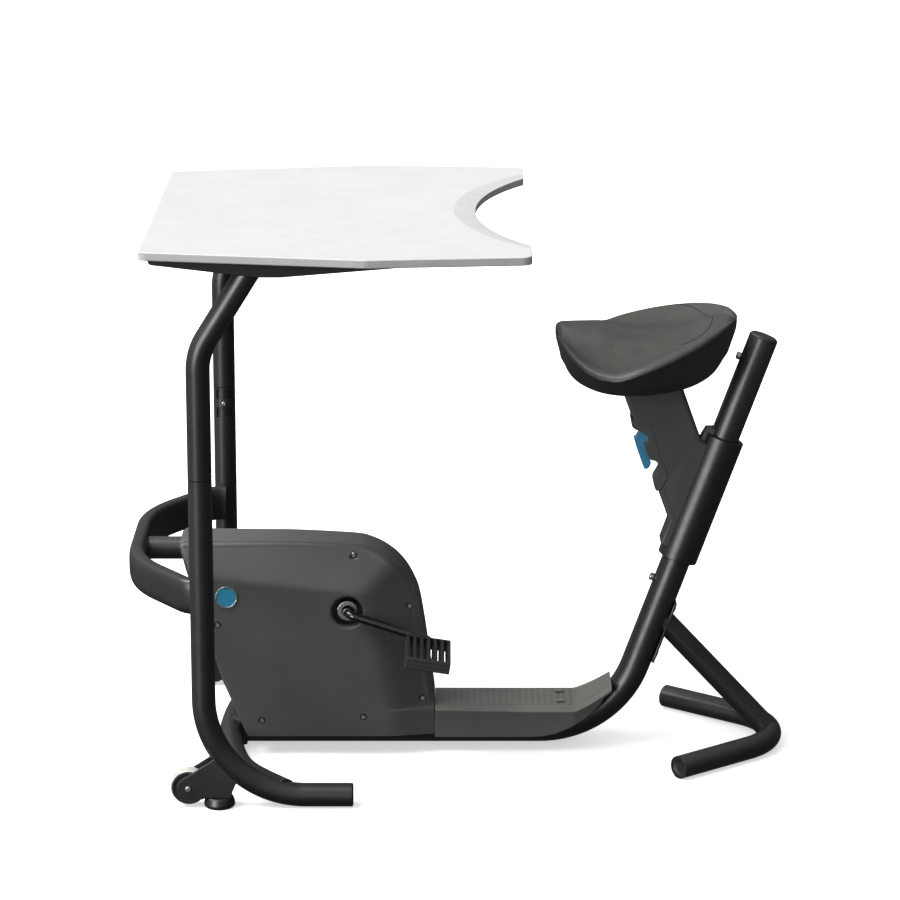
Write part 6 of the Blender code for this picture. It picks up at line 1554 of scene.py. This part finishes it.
def make_seat_post():
    """The moulded bracket from the sleeve to the saddle."""
    low, high = mast_point(0.455), mast_point(0.68)
    top = SADDLE_BOTTOM - SEAT_POST_TOP_DROP
    front_x, front_z = SEAT_POST_FRONT
    back_x, back_z = SEAT_POST_BACK
    knee_x = front_x + (front_z - SEAT_POST_KNEE) * SEAT_POST_LEAN
    outline = [
        (front_x - (top - front_z) * SEAT_POST_LEAN, top), (knee_x, SEAT_POST_KNEE),
        (0.4508, 0.4775), (0.4540, 0.4640), (low.x, low.z), (high.x, high.z), (back_x, back_z),
        (back_x - (top - back_z) * SEAT_POST_LEAN, top),
    ]
    post = shape(block("saddle_stem", outline, SEAT_POST_WIDTH), round_to=0.009, segments=5, angle=60.0)
    tab = [(back_x - 0.004, back_z - 0.008), (0.5495, 0.7325), (0.5900, 0.7325), (0.590, 0.690)]
    tab = shape(block("ear", tab, TAB_WIDTH), round_to=0.002, segments=3)
    sleeve_end = SLEEVE_CENTRE_HEIGHT + (SLEEVE_LENGTH / 2 + GAP) * math.cos(MAST_LEAN)
    below = mast_point(SLEEVE_CENTRE_HEIGHT - 0.2)
    above = mast_point(SLEEVE_CENTRE_HEIGHT + 0.25)
    space = swept("sleeve_space", [below, mast_point(sleeve_end)], SLEEVE_RADIUS + GAP, 80)
    mast_space = swept("mast_space", [below, above], BEAM_RADIUS + SEAT_POST_MAST_PLAY, 80)
    back = smooth_outline([TRIM_FRONT[-1]] + TRIM_BACK + [TRIM_FRONT[0]], 4)
    notch = block("trim_notch", back + [(0.350, 0.750), (0.420, 0.580)], 0.08)
    post = shape(post, space, mast_space, notch, join=[tab])
    post = shape(settle(post, flat=True), round_to=0.0008, segments=2, angle=60.0)
    keep(post, "seat_carriage", CHARCOAL, "seat_post")


def make_grip():
    """The grip's trim, the blue squeeze lever and its pin."""
    middle_x, middle_z = TRIM_MIDDLE
    in_x, in_z = TRIM_DRAWN_IN
    outline = smooth_outline(TRIM_FRONT, 4) + smooth_outline(TRIM_BACK, 4)
    outline = [(x + (middle_x - x) * in_x, z + (middle_z - z) * in_z) for x, z in outline]
    trim = shape(block("grip_surround", outline, TRIM_WIDTH), round_to=0.0022, segments=3, angle=40.0)
    slot = block("lever_slot", TRIM_SLOT, LEVER_SLOT_WIDTH)
    keep(shape(trim, slot), "seat_carriage", TRIM, "grip_trim")
    lever = block("squeeze_lever", smooth_outline(LEVER_OUTLINE, 4, closed=True), LEVER_WIDTH)
    lever = shape(lever, round_to=0.003, segments=4, angle=40.0)
    keep(lever, "release_lever", BLUE, "release_lever")
    radius, half = LEVER_PIN
    pin = soft_profile(rod(radius, half, -half), 0.0006)
    piece = turned("lever_axle", pin, (LEVER_PIVOT[0], 0.0, LEVER_PIVOT[1]), (0.0, 1.0, 0.0), 24)
    keep(piece, "seat_carriage", ZINC, "lever_pin")


# Saddle

def ease(value, low, high):
    """A share from 0 to 1 that starts and ends gently."""
    share = min(1.0, max(0.0, (value - low) / (high - low)))
    return share * share * (3.0 - 2.0 * share)


def saddle_end(along):
    """Length and roundness of the saddle's rear half or front half."""
    if along > 0.0:
        return SADDLE_REAR, SADDLE_REAR_POWER
    return SADDLE_FRONT, SADDLE_FRONT_POWER


def saddle_reach(turn):
    """Distance from the saddle's middle to its edge, seen from above."""
    cosine, sine = math.cos(turn), abs(math.sin(turn))
    length, power = saddle_end(cosine)
    total = (abs(cosine) / length) ** power + (sine / SADDLE_HALF_WIDTH) ** power
    return total ** (-1.0 / power)


def reach_across(x):
    """Half width of the saddle at this place along the bike."""
    along = x - SADDLE_MIDDLE_X
    length, power = saddle_end(along)
    return SADDLE_HALF_WIDTH * max(0.0, 1.0 - min(1.0, abs(along) / length) ** power) ** (1.0 / power)


def saddle_rim(x):
    """Height of the saddle's rim: low beside the thighs, high at the back."""
    return 0.918 + 0.32 * max(0.0, min(x, 0.600) - 0.340) + 5.6 * max(0.0, 0.312 - x) ** 2


def saddle_ridge(x):
    """Height of the saddle along its middle line."""
    dip = 0.012 * ease(x, 0.30, 0.42) * (1.0 - ease(x, 0.47, 0.58))
    return 0.972 - dip + 0.014 * ease(x, 0.50, 0.60)


def saddle_top(x, share):
    """Height of the cushion, this share of the way from its middle line to its rim."""
    rim = saddle_rim(x)
    crown = 1.0 - ease(share, 0.0, 1.0)
    return rim + (saddle_ridge(x) - rim) * crown - 0.014 * math.sin(math.pi * share) ** 2


SEAM_PLAN = [
    (0.470, 0.222), (0.4994, 0.200), (0.5235, 0.160), (0.541, 0.115), (0.5535, 0.070),
    (0.5600, 0.030), (0.5590, -0.005), (0.5540, -0.030), (0.5465, -0.054), (0.5350, -0.076),
    (0.5200, -0.096), (0.5020, -0.116), (0.4840, -0.132),
]


def make_seam():
    """The sewn line that arcs round the raised back of the saddle."""
    points = []
    for point in curve_line([(x, y, 0.0) for x, y in SEAM_PLAN], 8):
        share = min(1.0, abs(point.y) / reach_across(point.x))
        points.append((point.x, point.y, saddle_top(point.x, share) - 0.0001))
    seam = swept("saddle_seam", points, 0.0013, 12)
    keep(seam, "seat_carriage", BLACK, slot="black_leatherette")


def saddle_point(direction):
    """Moves a point of a unit sphere to its place on the cushion."""
    turn = math.atan2(direction.y, direction.x)
    level = math.asin(max(-1.0, min(1.0, direction.z)))
    reach = saddle_reach(turn)
    rise = abs(level) / (math.pi / 2)
    share = 1.0 - rise**1.5
    if direction.z < 0.0 and rise < SADDLE_WALL_RISE:
        share = 1.0 - (1.0 - SADDLE_WALL) * ease(rise, 0.0, SADDLE_WALL_RISE)
    elif direction.z < 0.0:
        share = SADDLE_WALL - SADDLE_WALL * (rise - SADDLE_WALL_RISE) / (1.0 - SADDLE_WALL_RISE)
    x = SADDLE_MIDDLE_X + reach * share * math.cos(turn)
    y = reach * share * math.sin(turn)
    half = reach_across(x)
    across = min(1.0, abs(y) / half) if half > 0.0 else 1.0
    rim_edge = saddle_top(x, across)
    rear_lift = 0.030 * ease(x, 0.48, 0.62)
    front_lift = 0.012 * (1.0 - ease(x, 0.22, 0.32))
    if direction.z >= 0.0:
        drop = SADDLE_SHOULDER_DROP * (1.0 - min(1.0, rise / 0.22)) ** 2
        return Vector((x, y, rim_edge - drop))
    low = SADDLE_BOTTOM + 0.02 + rear_lift + front_lift
    if rise < SADDLE_WALL_RISE:
        share = ease(rise, 0.0, SADDLE_WALL_RISE)
        return Vector((x, y, (rim_edge - SADDLE_SHOULDER_DROP) * (1.0 - share) + low * share))
    inwards = min(1.0, (rise - SADDLE_WALL_RISE) / 0.25)
    lift = (rear_lift + front_lift + 0.02) * (1.0 - inwards) ** 1.5
    lip = 0.0125 * math.sin(math.pi * min(1.0, inwards * 1.15)) ** 2
    return Vector((x, y, SADDLE_BOTTOM + lift - lip))


def make_saddle():
    """The padded cushion on its plastic pan."""
    edit = bmesh.new()
    bmesh.ops.create_uvsphere(edit, u_segments=160, v_segments=180, radius=1.0)
    for vertex in edit.verts:
        vertex.co = saddle_point(vertex.co.normalized())
    pad = settle(close_edit(edit, "saddle_pad"), sharp=60.0)
    keep(pad, "seat_carriage", LEATHER, "saddle_cushion")
    outline = []
    for i in range(96):
        turn = 2 * math.pi * i / 96
        reach = saddle_reach(turn) * PAN_SHARE
        outline.append((SADDLE_MIDDLE_X + reach * math.cos(turn), reach * math.sin(turn)))
    pan = block("saddle_shell", outline, PAN_THICKNESS, top_down=True)
    pan.location = (0.0, 0.0, SADDLE_BOTTOM - GAP - PAN_THICKNESS / 2)
    keep(shape(pan, round_to=0.003, segments=3), "seat_carriage", BLACK, "saddle_pan")


# Stage

def make_stage():
    """A plain pale floor. The bike isn't lit by it, so undersides stay dark as in the photograph."""
    size = 60.0
    mesh = bpy.data.meshes.new("studio_floor")
    corners = [(-size, -size, 0.0), (size, -size, 0.0), (size, size, 0.0), (-size, size, 0.0)]
    mesh.from_pydata(corners, [], [(0, 1, 2, 3)])
    floor = link("studio_floor", mesh)
    floor.visible_diffuse = False
    floor.visible_glossy = False
    made, _, shader, _ = start("pale_floor", Roughness=1.0)
    shader.inputs["Base Color"].default_value = colour("#F6F6F6")
    shader.inputs["Specular IOR Level"].default_value = 0.0
    shader.inputs["Emission Color"].default_value = colour("#FFFFFF")
    shader.inputs["Emission Strength"].default_value = 0.55
    mesh.materials.append(made)


# The dim studio's bright side: the direction towards it, and the strength away from it and in it
GLOW_TOWARDS = (-0.47, -0.20, 0.86)
GLOW_STRENGTH = (0.06, 0.75)
# Name, direction towards it, strength, and how wide it is in degrees
LIGHTS = [("key", (-0.52, -0.10, 0.85), 4.1, 42.0), ("gloss", (-0.60, -0.79, 0.12), 3.2, 34.0)]


def make_lights():
    """A large soft light from the upper left in a dim studio, and a box that shows only as sheen."""
    world = bpy.data.worlds.new("studio")
    bpy.context.scene.world = world
    world.use_nodes = True
    tree = world.node_tree
    place = add(tree, "ShaderNodeTexCoord")
    facing = add(
        tree, "ShaderNodeVectorMath", {0: place.outputs["Generated"], 1: GLOW_TOWARDS},
        operation="DOT_PRODUCT",
    )
    span = {
        "Value": facing.outputs["Value"], "From Min": -0.35, "From Max": 1.0,
        "To Min": GLOW_STRENGTH[0], "To Max": GLOW_STRENGTH[1],
    }
    glow = add(tree, "ShaderNodeMapRange", span, interpolation_type="SMOOTHSTEP")
    tree.links.new(glow.outputs["Result"], tree.nodes["Background"].inputs["Strength"])
    tree.nodes["Background"].inputs["Color"].default_value = colour("#FFFFFF")
    for name, toward, energy, angle in LIGHTS:
        data = bpy.data.lights.new(name, "SUN")
        data.energy = energy
        data.angle = math.radians(angle)
        light = link(name, data)
        light.rotation_euler = Vector(toward).to_track_quat("Z", "Y").to_euler()
        light.visible_diffuse = name == "key"
    view = bpy.context.scene.view_settings
    view.view_transform = "Standard"
    view.look = "None"


def make_camera():
    """The camera, as fitted to the photograph."""
    data = bpy.data.cameras.new("camera")
    data.lens = 141.3
    data.sensor_width = 36.0
    camera = link("camera", data)
    camera.location = (-0.016, -7.563, 2.653)
    camera.rotation_euler = (math.radians(75.38), 0.0, 0.0)
    bpy.context.scene.camera = camera


make_camera()
make_stage()
make_lights()
make_beam()
make_cross_tube()
make_loop()
make_rear_stand()
for side, sign in SIDES:
    make_leg(side, sign)
    make_bracket(side, sign)
    make_wheel(side, sign)
    make_level_foot(side, sign)
    make_upright(side, sign)
    make_desk_steel(side, sign)
    make_housing_panel(side, sign)
    make_pedal(side, sign)
make_crossbar()
make_desktop()
make_housing_band()
make_badge()
make_step_cover()
make_repeats()
make_crank()
make_sleeve()
make_seat_post()
make_grip()
make_saddle()
make_seam()

slots = {entry["node"]: entry["material_slot"] for entry in frame["record"]["subparts"]}
for name, node in frame["nodes"].items():
    node.data.materials.clear()
    node.data.materials.append(SLOTS[slots[name]][0])
